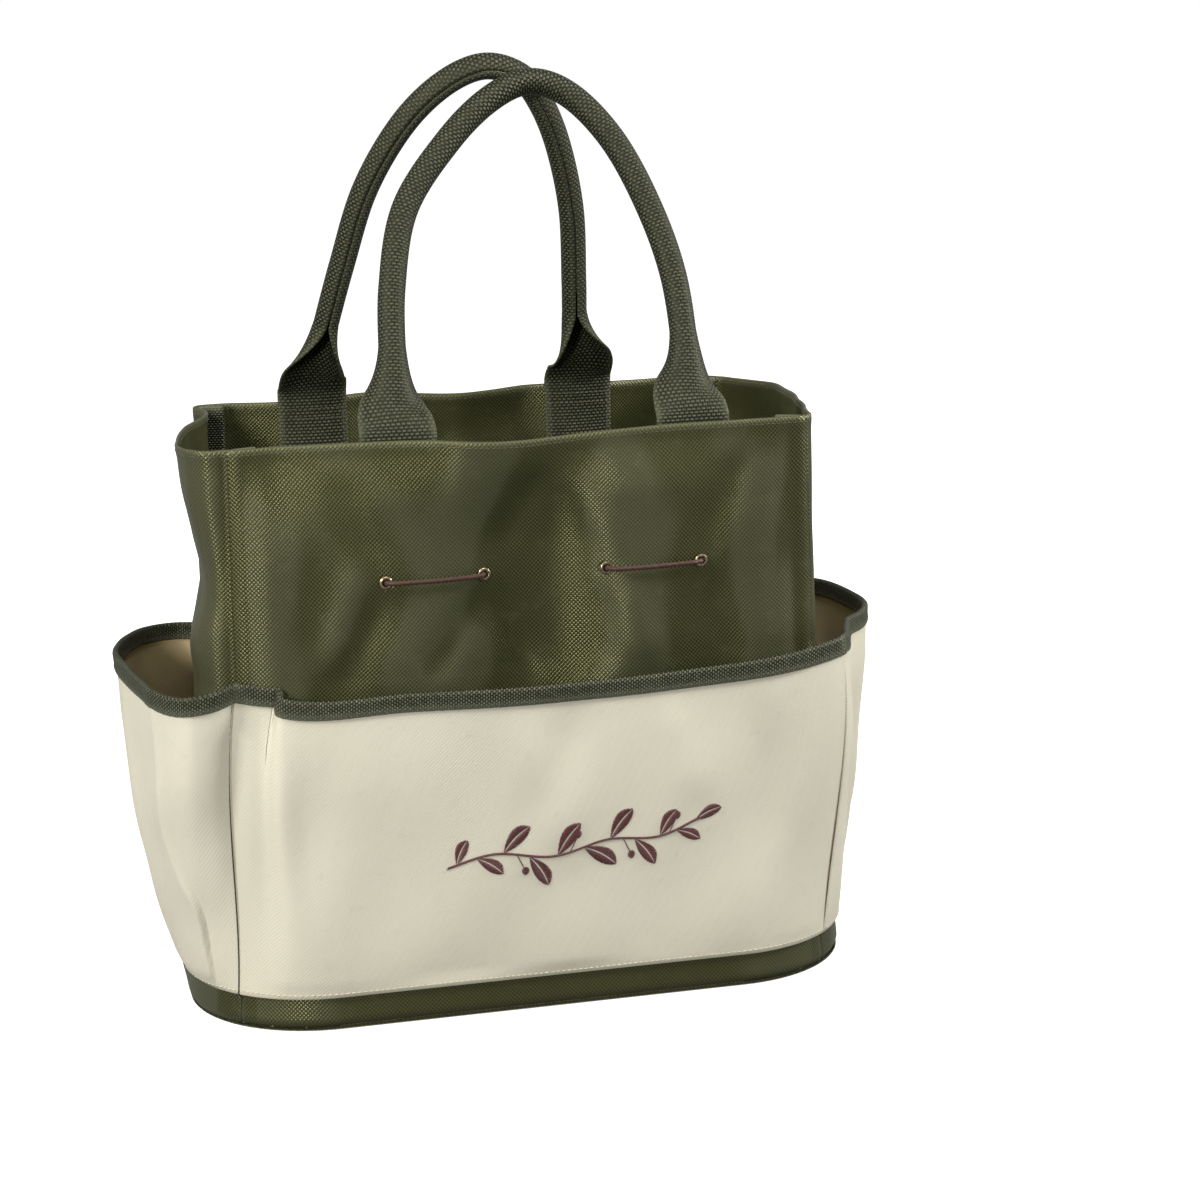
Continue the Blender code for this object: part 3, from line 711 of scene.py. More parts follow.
def grid_normals(grid):
    normal = np.cross(np.gradient(grid, axis=1), np.gradient(grid, axis=0))
    return normal / np.maximum(np.linalg.norm(normal, axis=-1, keepdims=True), TINY)


def shell(grid, thickness, uv, closed=False, holes=()):
    """A closed sheet round a grid of points (rows, columns), with rounded edges: verts, faces, uvs and edge wear."""
    rows, cols = grid.shape[:2]
    if closed:
        normal = grid_normals(np.concatenate([grid[:, -1:], grid, grid[:, :1]], axis=1))[:, 1:-1]
    else:
        normal = grid_normals(grid)
    half = (np.broadcast_to(np.asarray(thickness, float), (rows, cols)) / 2)[..., None]
    outer, inner = (grid + normal * half).reshape(-1, 3), (grid - normal * half).reshape(-1, 3)
    centre_line = grid.reshape(-1, 3)
    flat_uv = uv.reshape(-1, 2)
    shift = rows * cols
    index = np.arange(shift).reshape(rows, cols)
    faces, open_cells = [], set()
    for row in range(rows - 1):
        for col in range(cols if closed else cols - 1):
            nxt = (col + 1) % cols
            a, b, c, d = index[row, col], index[row, nxt], index[row + 1, nxt], index[row + 1, col]
            centre = (grid[row, col] + grid[row + 1, nxt]) / 2
            if any(np.linalg.norm(centre - hole) < EYELET_HOLE for hole in holes):
                open_cells.add((row, col))
                continue
            faces += [(a, b, c, d), (d + shift, c + shift, b + shift, a + shift)]
    for row, col in open_cells:
        corners = ((row, col), (row, col + 1), (row + 1, col + 1), (row + 1, col))
        sides = ((row - 1, col), (row, col + 1), (row + 1, col), (row, col - 1))
        for side, other in enumerate(sides):
            if other not in open_cells:
                a, b = index[corners[side]], index[corners[(side + 1) % 4]]
                faces.append((a, b, b + shift, a + shift))
    if closed:
        loops = [(index[-1], index[-2]), (index[0][::-1], index[1][::-1])]
    else:
        around = [index[0], index[1:, -1], index[-1, ::-1][1:], index[::-1, 0][1:-1]]
        loops = [(np.concatenate(around), None)]
    verts, uvs, count = [outer, inner], [flat_uv, flat_uv], 2 * shift
    for loop, beside in loops:
        here = centre_line[loop]
        tangent = centre_line[np.roll(loop, -1)] - centre_line[np.roll(loop, 1)]
        across = outer[loop] - inner[loop]
        away = np.cross(tangent, across)
        away /= np.maximum(np.linalg.norm(away, axis=1, keepdims=True), TINY)
        if closed:
            away *= np.sign(np.sum(away * (here - centre_line[beside]), axis=1, keepdims=True))
        verts.append(here + away * (np.linalg.norm(across, axis=1, keepdims=True) * EDGE_ROUND))
        uvs.append(flat_uv[loop])
        size = len(loop)
        for step in range(size):
            nxt = (step + 1) % size
            a, b = int(loop[step]), int(loop[nxt])
            m, n = count + step, count + nxt
            faces += [(b, a, m, n), (n, m, a + shift, b + shift)]
        count += size
    reach = np.minimum(uv[..., 1] - uv[..., 1].min(), uv[..., 1].max() - uv[..., 1])
    if not closed:
        reach = np.minimum(np.minimum(uv[..., 0] - uv[..., 0].min(), uv[..., 0].max() - uv[..., 0]), reach)
    near = np.exp(-((reach / EDGE_WEAR) ** 2)).reshape(-1)
    edge = np.concatenate([near, near, np.ones(count - 2 * shift)])
    return np.concatenate(verts), faces, np.concatenate(uvs), edge


def add_shell(name, grid, thickness, uv, material, body, slot, holes=()):
    verts, faces, uvs, edge = shell(grid, thickness, uv, holes=holes)
    count = grid.shape[0] * grid.shape[1]
    inside = np.zeros(len(verts))
    inside[count:2 * count] = 1.0
    return add_mesh(name, verts, faces, material, body, slot, uvs, edge, inside)


def lattice_faces(rows, cols, wrap_rows):
    """Quads over rows of points that close on themselves, and whose last row may join the first."""
    faces = []
    for row in range(rows if wrap_rows else rows - 1):
        nxt = (row + 1) % rows
        for col in range(cols):
            after = (col + 1) % cols
            faces.append((row * cols + col, row * cols + after, nxt * cols + after, nxt * cols + col))
    return faces


def run_of(grid):
    """Length so far along each row of a grid, from its middle."""
    steps = np.linalg.norm(np.diff(grid, axis=1), axis=-1)
    run = np.concatenate([np.zeros((grid.shape[0], 1)), np.cumsum(steps, axis=1)], axis=1)
    return run - run[:, -1:] / 2


def cloth_uv(grid, row_heights):
    return np.stack([run_of(grid), np.broadcast_to(row_heights, grid.shape[:2])], axis=-1)


# ---- Walls ----

wall_grids = {}
COLUMNS = {"front": 170, "rear": 170, "left": 110, "right": 110}
HEM = 0.0060
HEM_EXTRA = 0.40
# Painted highlight along proud fold crests: its spread in columns, the crest height at full, and its strongest share.
CREST_SPREAD = 7
CREST_FULL = 0.0012
CREST_HIGHLIGHT = 0.7


def wall_grid(face, columns, rows=140):
    """A wall's points, with rows set closer at its foot, and their heights."""
    share = np.concatenate([np.linspace(0, 0.03, 8)[:-1], np.linspace(0.03, 1, rows - 7)])
    t, z = np.broadcast_arrays(np.linspace(0, 1, columns)[None, :], mix(WALL_LOW, HEIGHT, share)[:, None])
    flat = face_point(face, t, z, -WALL / 2)
    seam = -0.0004 * np.exp(-((np.minimum(t, 1 - t) / 0.012) ** 2)) * smoothstep(z / 0.03)
    foot = -0.0022 * (1 - smoothstep((z - WALL_LOW) / 0.005)) ** 2
    if face in PANELS:
        out = panel_shift(face, flat[..., 0], z)
    else:
        out = gusset_shift(face, flat[..., 1], z)
        # Below the pocket's mouth a gusset bulges no further than the pocket leaves room.
        room = 0.0004 + 0.030 * smoothstep(np.minimum(t, 1 - t) / 0.36)
        low = 1 - smoothstep((z - 0.186) / 0.022)
        out = np.where(out > 0, mix(out, np.minimum(out, room), low), out)
    grid = face_point(face, t, z, -WALL / 2 + out + seam + foot)
    if face in PANELS:
        grid[..., 2] -= panel_sag(face, flat[..., 0], z)
    return grid, z[:, :1]


def eyelet_shift(x):
    """How far the front panel stands out at an eyelet."""
    return float(panel_shift("front", np.array([x]), np.array([EYELET_Z]))[0])


def eyelet_spot(x):
    return Vector((x, -HALF_DEPTH_RIM - eyelet_shift(x), EYELET_Z))


def paint_crest_highlights(wall, grid):
    """Painted highlight: the cloth is made lighter where a fold stands proud, by raising its edge attribute there."""
    spread = CREST_SPREAD
    crest = np.zeros(grid.shape[:2])
    middle = grid[:, spread:-spread]
    beside = (grid[:, 2 * spread:] + grid[:, :-2 * spread]) / 2
    crest[:, spread:-spread] = np.sum((middle - beside) * grid_normals(grid)[:, spread:-spread], axis=-1)
    wear_and_highlight = np.clip(crest / CREST_FULL, 0, 1).reshape(-1)
    values = np.zeros(len(wall.data.vertices), np.float32)
    shade = wall.data.attributes["edge"].data
    shade.foreach_get("value", values)
    # Painted highlight on the crests, kept with the edge wear in one attribute.
    values[:len(wear_and_highlight)] = np.maximum(values[:len(wear_and_highlight)], CREST_HIGHLIGHT * wear_and_highlight)
    shade.foreach_set("value", values)


def build_walls():
    for face, name in WALLS.items():
        grid, z = wall_grid(face, COLUMNS[face])
        wall_grids[face] = grid
        holes = [np.array(eyelet_spot(x)) for x in EYELET_X] if face == "front" else ()
        hem = 1 + HEM_EXTRA * smoothstep((z - (HEIGHT - HEM)) / 0.0020)
        uv = cloth_uv(grid, z)
        wall = add_shell(name + "_cloth", grid, WALL * hem, uv, OLIVE, "bag", "olive_canvas", holes)
        # Painted highlight along the wall's proud fold crests.
        paint_crest_highlights(wall, grid)
        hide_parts(name)


# ---- Base ----

# Rows of name, height, thickness, distance in from the wall, unevenness and what the plate rests on.
PLATES = (
    ("base_panel", 0.0006, 0.0011, 0.0012, 0.0, []),
    ("base_lining", 0.0049, 0.0010, 0.0040, 0.0005, ["base_board"]),
)
PLATE_SEED = 21


def ring_outline(inset, steps=46):
    points = []
    for face in ("front", "right", "rear", "left"):
        t = np.linspace(0, 1, steps, endpoint=False)
        points.append(face_point(face, t, np.zeros(steps), -inset))
    return np.concatenate(points)


def plate_grid(z, inset, sag):
    """Rings of points from the base's outline in to a small ring at its middle."""
    rings = np.concatenate([np.linspace(0.02, 0.94, 16), [0.97, 0.99, 1.0]])[::-1]
    grid = ring_outline(inset)[None, :, :] * rings[:, None, None]
    lift = waves(grid[..., 0], grid[..., 1], PLATE_SEED, UNEVEN_LENGTH["plate"], sag) * (1 - rings[:, None] ** 6)
    grid[..., 2] = z + np.maximum(lift, -0.0002 if sag else 0)
    return grid


def build_base():
    for name, z, thick, inset, sag, below in PLATES:
        grid = plate_grid(z, inset, sag)
        verts, faces, uvs, edge = shell(grid, thick, grid[..., :2].copy(), closed=True)
        # The middle ring's rounded edge gives way to a cap on each side.
        rows, cols = grid.shape[:2]
        start = 2 * rows * cols
        hub = [(rows - 1) * cols + step for step in range(cols)]
        faces = [face for face in faces if not start <= max(face) < start + cols]
        faces += [tuple(hub), tuple(step + rows * cols for step in hub[::-1])]
        used = sorted({v for face in faces for v in face})
        order = {v: place for place, v in enumerate(used)}
        faces = [tuple(order[v] for v in face) for face in faces]
        plate = add_mesh(
            name + "_cloth", verts[used], faces, OLIVE, "bag", "olive_canvas", uvs[used], edge[used] * 0.4,
        )
        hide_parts(name)


# ---- Pockets and bindings ----

POCKET_ROWS = 90
# Columns set closer together round the front mouth's step and the left pocket's pleat.
CLOSE_COLUMNS = {"front": (0.060, 0.094, 20), "left": (0.74, 0.97, 90)}
pocket_grids = {}


def pocket_grid(face):
    u = np.linspace(0, 1, 190 if face in PANELS else 130)
    if face in CLOSE_COLUMNS:
        u = np.unique(np.concatenate([u, np.linspace(*CLOSE_COLUMNS[face])]))
    u, v = np.broadcast_arrays(u[None, :], np.linspace(0, 1, POCKET_ROWS)[:, None])
    return pocket_point(face, u, v)


def build_pockets():
    heights = mix(POCKET_FOOT, POCKET_TOP, np.linspace(0, 1, POCKET_ROWS))[:, None]
    for face in FACES:
        grid = pocket_grid(face)
        pocket_grids[face] = grid
        uv = cloth_uv(grid, heights)
        pocket = add_shell(face + "_pocket_cloth", grid, POCKET_CLOTH, uv, CREAM, "bag", "cream_canvas")
        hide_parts(face + "_pocket")
        build_binding(face, grid)


def build_binding(face, pocket):
    """The tape folded over a pocket's top edge, with its two selvedges level with each other."""
    normal = grid_normals(pocket)
    top, square = pocket[-1], normal[-1]
    up = unit(pocket[-1] - pocket[-3])
    row_drop = np.linalg.norm(pocket[-1] - pocket[-2], axis=1).mean()
    stand = POCKET_CLOTH / 2 + BINDING_GAP + BINDING_CLOTH / 2

    def side_rows(side, depths):
        rows = []
        for level in depths / row_drop:
            low = int(level)
            base = mix(pocket[-1 - low], pocket[-2 - low], level - low)
            way = mix(normal[-1 - low], normal[-2 - low], level - low)
            rows.append(base + way * stand * side)
        return rows

    depths = np.linspace(BINDING_DEPTH, 0.0, 9)
    turns = [math.pi * step / 6 for step in range(1, 6)]
    fold = [top + square * stand * math.cos(turn) + up * stand * math.sin(turn) for turn in turns]
    grid = np.array(side_rows(1, depths) + fold + side_rows(-1, depths[::-1]))
    steps = [float(np.linalg.norm(after - before, axis=1).mean()) for before, after in zip(grid, grid[1:])]
    distance = np.concatenate([[0.0], np.cumsum(steps)])
    ripple = 0.5 + 0.5 * np.cos(distance / distance[-1] * 2 * math.pi)
    length = run_of(grid)
    pucker = np.sin(length * 2 * math.pi / 0.0052 + 1.3 * np.sin(length * 130)) * 0.00010
    grid = grid + grid_normals(grid) * (pucker * ripple[:, None])[..., None]
    uv = np.stack([np.broadcast_to(distance[:, None], grid.shape[:2]), length], axis=-1)
    binding = add_shell(face + "_pocket_binding_tape", grid, BINDING_CLOTH, uv, BINDING, "bag", "binding")
    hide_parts(face + "_pocket_binding")


# ---- Seam tapes inside the corners ----

# The face before and after each corner, and the way that its allowances point.
CORNERS = {
    "front_right": ("front", "right", (-0.93, 0.36)), "rear_right": ("right", "rear", (-0.93, -0.36)),
    "rear_left": ("rear", "left", (0.93, -0.36)), "front_left": ("left", "front", (0.93, 0.36)),
}
TAPE_REACH = 0.0140
TAPE_EDGE = 0.0022
TAPE_STAND = 0.0013
TAPE_CLOTH = 0.0009
ALLOWANCE = 0.0014


def build_seam_tapes():
    """The seam allowances of each corner stand inward, between the two sides of a folded tape."""
    for corner, (before, after, way) in CORNERS.items():
        root = (wall_grids[before][7:, -1] + wall_grids[after][7:, 0]) / 2
        height = root[:, 2]
        lean = np.sin(height * 40 + len(corner)) * 0.10
        cos, sin, flat = np.cos(lean), np.sin(lean), np.zeros_like(lean)
        turned = np.stack([way[0] * cos - way[1] * sin, way[0] * sin + way[1] * cos, flat], axis=1)
        square = np.stack([-turned[:, 1], turned[:, 0], flat], axis=1)
        reaches = np.linspace(TAPE_EDGE, TAPE_REACH, 7)
        profile = [(reach, TAPE_STAND) for reach in reaches]
        for step in range(1, 5):
            turn = math.pi / 2 - math.pi * step / 5
            profile.append((TAPE_REACH + TAPE_STAND * math.cos(turn), TAPE_STAND * math.sin(turn)))
        profile += [(reach, -TAPE_STAND) for reach in np.linspace(TAPE_REACH, TAPE_EDGE, 7)]
        grid = np.stack([root + turned * reach + square * stand for reach, stand in profile], axis=1)
        run = run_along(grid[60])
        uv = np.stack(np.broadcast_arrays(run[None, :], height[:, None]), axis=-1)
        tape = add_shell("seam_tape_" + corner + "_fold", grid, TAPE_CLOTH, uv, BINDING, "bag", "binding")
        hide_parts("seam_tape_" + corner)
        core = np.stack([root + turned * reach for reach in (0.0016, 0.0050, TAPE_REACH - 0.0006)], axis=1)
        core_uv = np.stack(np.broadcast_arrays(run[None, :3], height[:-2, None]), axis=-1)
        name = "seam_allowance_" + corner
        add_shell(name, core[:-2], ALLOWANCE, core_uv, OLIVE, "bag", "olive_canvas")


# ---- Handles ----

handle_grids = {}


def arch_line(side):
    """A handle's middle line and its direction in its leaning plane, in even steps."""
    arch = np.array(ARCH[side], float)
    places = np.arange(len(arch), dtype=float)
    line = curve_through(np.column_stack([places, arch]), np.linspace(0, len(arch) - 1, 900))
    run = run_along(line)
    even = np.linspace(0, run[-1], 300)
    line = read_along(line, run, even)
    return line, unit(np.gradient(line, axis=0)), even


def handle_lean(side):
    """The angle at which the rolled tops of the two handles just meet over the bag's middle."""
    top = float(arch_line(side)[0][:, 1].max())
    thick = STRAP_WIDTH / (math.pi * ROLL_SHARE) + STRAP / 2
    reach = STRAP_PLANE_Y - REST_GAP / 2
    return math.asin(reach / math.hypot(top, thick)) - math.atan2(thick, top)


def strap_grid(side):
    """The whole strap: up one tab, rolled over the arch and down the other tab."""
    sign = OUT_SIGN[side]
    lean = handle_lean(side)
    origin = np.array([HANDLE_X[side], sign * STRAP_PLANE_Y, HINGE_Z])
    right = np.array([1.0, 0.0, 0.0])
    up = np.array([0.0, -sign * math.sin(lean), math.cos(lean)])
    outward = np.array([0.0, sign * math.cos(lean), math.sin(lean)])
    line, slope, run = arch_line(side)
    total = run[-1]
    centre = origin + line[:, :1] * right + line[:, 1:] * up
    width_way = slope[:, 1:] * right - slope[:, :1] * up
    normal = np.broadcast_to(outward, centre.shape)
    drop = np.linspace(HINGE_Z - TAB_LOW, 0.0, 30)[:-1]
    tabs = []
    for end in (-1, 1):
        spot = np.array([HANDLE_X[side] + end * LEG_SPACING / 2, sign * STRAP_PLANE_Y, HINGE_Z])
        tabs.append(spot - drop[:, None] * np.array([0.0, 0.0, 1.0]))
    centre = np.concatenate([tabs[0], centre, tabs[1][::-1]])
    flat_way = np.broadcast_to(right, tabs[0].shape)
    flat_out = np.broadcast_to(np.array([0.0, sign, 0.0]), tabs[0].shape)
    width_way = np.concatenate([flat_way, width_way, -flat_way])
    normal = np.concatenate([flat_out, normal, flat_out])
    from_end = np.concatenate([-drop, np.minimum(run, total - run), -drop[::-1]])
    travel = np.concatenate([-drop, run, total + drop[::-1]])
    for _ in range(14):
        near = (np.abs(from_end) < FOLDED_ENDS)[1:-1, None]
        for values in (centre, normal):
            values[1:-1] = np.where(near, (values[:-2] + 2 * values[1:-1] + values[2:]) / 4, values[1:-1])
    normal = unit(normal)
    across = np.linspace(-0.5, 0.5, 31) * STRAP_WIDTH
    full = 2 * math.pi * ROLL_SHARE / STRAP_WIDTH
    ramp = np.clip((from_end - FLARE_START) / FLARE_LENGTH, 0, 1)
    curl = np.maximum(full * (0.62 * ramp + 0.38 * smoothstep(ramp)), 1e-3)[:, None]
    side_step = np.sin(curl * across) / curl
    depth = (1 - np.cos(curl * across)) / curl
    grid = centre[:, None] + width_way[:, None] * side_step[..., None] - normal[:, None] * depth[..., None]
    # The tabs follow the wall's rim, which fades out above it.
    shift = panel_shift(side, grid[..., 0], np.minimum(grid[..., 2], HEIGHT))
    grid[..., 1] += sign * shift * (1 - smoothstep((grid[..., 2] - HEIGHT) / 0.020))
    return grid, across, travel, from_end


def build_handles():
    for side in HANDLE_X:
        grid, across, travel, from_end = strap_grid(side)
        handle_grids[side] = (grid, across, from_end)
        uv = np.stack(np.broadcast_arrays(across[None, ::-1], travel[:, None]), axis=-1)
        strap = add_shell(side + "_handle_strap", grid[:, ::-1], STRAP, uv, WEBBING, None, "webbing")
        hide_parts(side + "_handle", side + "_handle_tab_left", side + "_handle_tab_right")
        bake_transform(strap)


# ---- Eyelets and lace ----

# Rows of radius and height over the cloth.
EYELET_PROFILE = mm(
    (1.7, -1.8), (1.7, 0.3), (1.82, 0.62), (2.15, 0.85), (2.62, 0.88), (3.12, 0.7), (3.45, 0.36),
    (3.52, 0.02), (3.35, -0.06), (2.22, -0.08), (2.15, -1.8), (2.05, -1.95), (1.8, -1.95),
)
WASHER_PROFILE = mm(
    (2.5, 0.04), (2.62, 0.34), (2.95, 0.46), (3.25, 0.34), (3.4, 0.06), (3.3, -0.04), (2.56, -0.04),
)
PLIES = 3  # strands of a cord
PLY_DEPTH = 0.13
LACE_OUT_Y = -0.0909
LACE_IN_Y = -0.0831
LACE_END_Y = -0.0732
LACE_BEND = 0.0026
LACE_STEP = 0.0006
KNOT_Y = -0.0785
KNOT_SIZE = 0.00105
KNOT_RADIUS = 0.00112
TAIL_RADIUS = 0.00110
EYELET_STAND = 0.0002
WASHER_GAP = 0.0003


def lathe(name, profile, spot, node, turns=40):
    """A brass ring turned about the Y direction from rows of (radius, height)."""
    verts = []
    for step in range(turns):
        turn = 2 * math.pi * step / turns
        for radius, height in profile:
            verts.append((spot.x + radius * math.cos(turn), spot.y - height, spot.z + radius * math.sin(turn)))
    piece = add_mesh(name, verts, lattice_faces(turns, len(profile), True), BRASS, "bag", "brass")
    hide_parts(node)


def build_eyelets():
    washer = [(radius, -height) for radius, height in WASHER_PROFILE][::-1]
    for number, x in enumerate(EYELET_X, 1):
        spot = eyelet_spot(x)
        front = spot - Vector((0.0, EYELET_STAND, 0.0))
        lathe(f"eyelet_{number}_ring", EYELET_PROFILE, front, f"eyelet_{number}")
        back = spot + Vector((0.0, WALL + WASHER_GAP, 0.0))
        lathe(f"eyelet_washer_{number}_ring", washer, back, f"eyelet_washer_{number}")


def tube(path, radius, sides=16, twist=0.011, closed=False):
    """A twisted cord along a path of points."""
    path = np.array(path, float)
    run = run_along(path)
    tangent = np.roll(path, -1, axis=0) - np.roll(path, 1, axis=0) if closed else np.gradient(path, axis=0)
    tangent = unit(tangent)
    side = np.cross(tangent[0], (0.0, 0.0, 1.0))
    if np.linalg.norm(side) < 0.1:
        side = np.cross(tangent[0], (0.0, 1.0, 0.0))
    sides_way = []
    for way in tangent:
        side = unit(side - way * np.dot(side, way))
        sides_way.append(side)
    sides_way = np.array(sides_way)
    lift = np.cross(tangent, sides_way)
    angle = np.linspace(0, 2 * math.pi, sides, endpoint=False)
    turned = angle[None, :] - 2 * math.pi * run[:, None] / twist
    size = radius * (1 + PLY_DEPTH * (np.abs(np.cos(PLIES / 2 * turned)) - 0.6))
    cos, sin = np.cos(angle)[None, :, None], np.sin(angle)[None, :, None]
    ring = path[:, None] + (sides_way[:, None] * cos + lift[:, None] * sin) * size[..., None]
    count = len(path)
    faces = lattice_faces(count, sides, closed)
    if not closed:
        faces.append(tuple(range(sides))[::-1])
        faces.append(tuple((count - 1) * sides + col for col in range(sides)))
    return ring.reshape(-1, 3), faces


def lace_route():
    """In and out through the four eyelets, with a short end inside at both ends."""
    bend = LACE_BEND
    route = [(EYELET_X[0], LACE_END_Y, EYELET_Z)]
    for index, x in enumerate(EYELET_X):
        goes_out = index % 2 == 0
        arrive, leave = (LACE_IN_Y, LACE_OUT_Y) if goes_out else (LACE_OUT_Y, LACE_IN_Y)
        ease = bend * (0.40 if goes_out else -0.40)
        if index:
            route.append((x - bend, arrive, EYELET_Z))
            route.append((x - bend * 0.25, arrive - ease, EYELET_Z))
        route.append((x, (LACE_OUT_Y + LACE_IN_Y) / 2, EYELET_Z))
        if index < len(EYELET_X) - 1:
            route.append((x + bend * 0.25, leave + ease, EYELET_Z))
            route.append((x + bend, leave, EYELET_Z))
            far = EYELET_X[index + 1]
            for share in (0.25, 0.5, 0.75):
                sag = math.sin(math.pi * share) * (0.0002 if goes_out else 0.0024)
                route.append((mix(x + bend, far - bend, share), leave, EYELET_Z - sag))
    return route + [(EYELET_X[-1], LACE_END_Y, EYELET_Z)]


def build_lace():
    path = smooth_path(lace_route(), LACE_STEP)
    path[:, 1] -= panel_shift("front", path[:, 0], path[:, 2])
    lace = add_mesh("lace_cord", *tube(path, LACE_RADIUS), LACE, "bag", "lace")
    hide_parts("lace")
    for name, x, turn in (("lace_knot_left", EYELET_X[0], 0.3), ("lace_knot_right", EYELET_X[-1], 1.2)):
        centre = np.array([x, KNOT_Y - eyelet_shift(x), EYELET_Z])
        around = np.linspace(0, 2 * math.pi, 130, endpoint=False)
        across = np.sin(around) + 2 * np.sin(2 * around)
        height = np.cos(around) - 2 * np.cos(2 * around)
        knot = np.stack([across, -1.15 * np.sin(3 * around), height], axis=1) * KNOT_SIZE
        spin = np.array([[math.cos(turn), 0, math.sin(turn)], [0, 1, 0], [-math.sin(turn), 0, math.cos(turn)]])
        verts, faces = tube(knot @ spin.T + centre, KNOT_RADIUS, sides=12, twist=0.008, closed=True)
        tail = mm((0.6, -1, 0), (1.2, 2.2, -0.8), (1.6, 4.5, -3), (1.2, 5.6, -6.4), (0.4, 5.8, -9.8))
        more, more_faces = tube(smooth_path(centre + tail, LACE_STEP), TAIL_RADIUS, sides=12)
        faces = faces + [tuple(v + len(verts) for v in face) for face in more_faces]
        piece = add_mesh(name + "_tied", np.concatenate([verts, more]), faces, LACE, "bag", "lace")
        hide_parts(name)


# ---- Stitching ----

STITCH = 0.0030
STITCH_SHARE = 0.72
RIM_STITCH_DEPTH = 0.0026
BINDING_STITCH_DEPTH = 0.0063
SEAM_WAY = np.array([-0.7071, -0.7071, 0.0])  # out of the front left corner
STRAP_SEAM = 0.0172
STRAP_SEAM_START = 0.046
TAB_ROWS = 29
TAB_LEVELS = (0.2985, 0.2945, 0.2640)
TAB_COLUMNS = (2, 28)
TAB_MIDDLE = 15
HANDLE_STITCH = 0.0032
TAB_STITCH = 0.0028
THREAD = {
    "rim": 0.00019, "hem": 0.00026, "binding": 0.00022, "handle": 0.00024, "corner": 0.00042, "sprig": 0.00030,
}

# A stitch along its length: place, share of its full radius, and rise in radii.
CAPSULE = (
    (0.0, 0.15, -0.7), (0.10, 0.72, -0.1), (0.32, 1.0, 0.35), (0.68, 1.0, 0.35), (0.90, 0.72, -0.1), (1.0, 0.15, -0.7),
)


def capsule_rows(starts, ends, normals, radius, lift=0.55, sides=6):
    """Threads as little arched capsules from start to end, each sunk a little into the cloth."""
    verts, faces = [], []
    angles = [2 * math.pi * k / sides for k in range(sides)]
    for start, end, normal in zip(starts, ends, normals):
        way = end - start
        normal = normal / np.linalg.norm(normal)
        side = np.cross(way, normal)
        side /= max(np.linalg.norm(side), TINY)
        base = len(verts)
        for share, size, rise in CAPSULE:
            centre = start + way * share + normal * radius * (lift + rise)
            for angle in angles:
                verts.append(centre + (side * math.cos(angle) + normal * math.sin(angle)) * radius * size)
        faces += [tuple(base + v for v in face) for face in lattice_faces(len(CAPSULE), sides, False)]
        faces.append(tuple(base + k for k in range(sides))[::-1])
        faces.append(tuple(base + (len(CAPSULE) - 1) * sides + k for k in range(sides)))
    return verts, faces


def stitch_line(line, normals, pitch):
    """Starts, ends and normals of even stitches along a line of points."""
    run = run_along(line)
    count = int(run[-1] / pitch)
    begin = (np.arange(count) + 0.5 - STITCH_SHARE / 2) * run[-1] / count
    finish = begin + STITCH_SHARE * run[-1] / count
    middle = (begin + finish) / 2
    return read_along(line, run, begin), read_along(line, run, finish), read_along(normals, run, middle)


def add_stitches(name, lines, pitch, radius, material, body, slot):
    verts, faces = [], []
    for line, normals in lines:
        some, more = capsule_rows(*stitch_line(line, normals, pitch), radius)
        faces += [tuple(v + len(verts) for v in face) for face in more]
        verts += some
    return add_mesh(name, verts, faces, material, body, slot)


def grid_line(grid, row_place, offset, side, skip):
    """A line along a grid at a fractional row, raised off it to one side, short of both its ends."""
    normal = grid_normals(grid)
    low = int(math.floor(row_place))
    high = min(low + 1, grid.shape[0] - 1)
    share = row_place - low
    line = mix(grid[low], grid[high], share)[skip:-skip]
    way = mix(normal[low], normal[high], share)[skip:-skip] * side
    return line + way * offset, way


def build_stitches():
    rims, hems, bands = [], [], []
    for face in FACES:
        wall, pocket = wall_grids[face], pocket_grids[face]
        row_height = float(wall[-1, 60, 2] - wall[-2, 60, 2])
        rim_row = wall.shape[0] - 1 - RIM_STITCH_DEPTH / row_height
        row_height = float(np.linalg.norm(pocket[-1] - pocket[-2], axis=1).mean())
        band_row = pocket.shape[0] - 1 - BINDING_STITCH_DEPTH / row_height
        for side in (1, -1):
            rims.append(grid_line(wall, rim_row, WALL * 0.66, side, 3))
            bands.append(grid_line(pocket, band_row, POCKET_CLOTH / 2 + BINDING_GAP + BINDING_CLOTH, side, 2))
        hems.append(grid_line(pocket, 1.15, POCKET_CLOTH / 2, 1, 1))
    add_stitches("rim_stitches", rims, STITCH, THREAD["rim"], OLIVE_THREAD, "bag", "olive_canvas")
    add_stitches("pocket_hem_stitches", hems, STITCH, THREAD["hem"], CREAM_THREAD, "bag", "cream_canvas")
    add_stitches("binding_stitches", bands, STITCH, THREAD["binding"], DARK_THREAD, "bag", "binding")
    build_corner_thread()
    for side in HANDLE_X:
        build_handle_stitches(side)


def build_corner_thread():
    """The dark thread that shows in the front left seam, from the binding down to the floor."""
    wall = wall_grids["front"][:, 0]
    band = wall[(wall[:, 2] > 0.0030) & (wall[:, 2] < POCKET_FOOT - 0.0020)] + SEAM_WAY * 0.00075
    seam = (pocket_grids["front"][:-5, 0] + pocket_grids["left"][:-5, -1]) / 2
    seam = seam + SEAM_WAY * mix(0.00062, 0.00170, np.linspace(0, 1, len(seam)))[:, None]
    line = smooth_path(np.concatenate([band, seam]), 0.0015)
    add_mesh("front_left_seam_thread", *tube(line, THREAD["corner"], sides=8), DARK_THREAD, "bag", "binding")


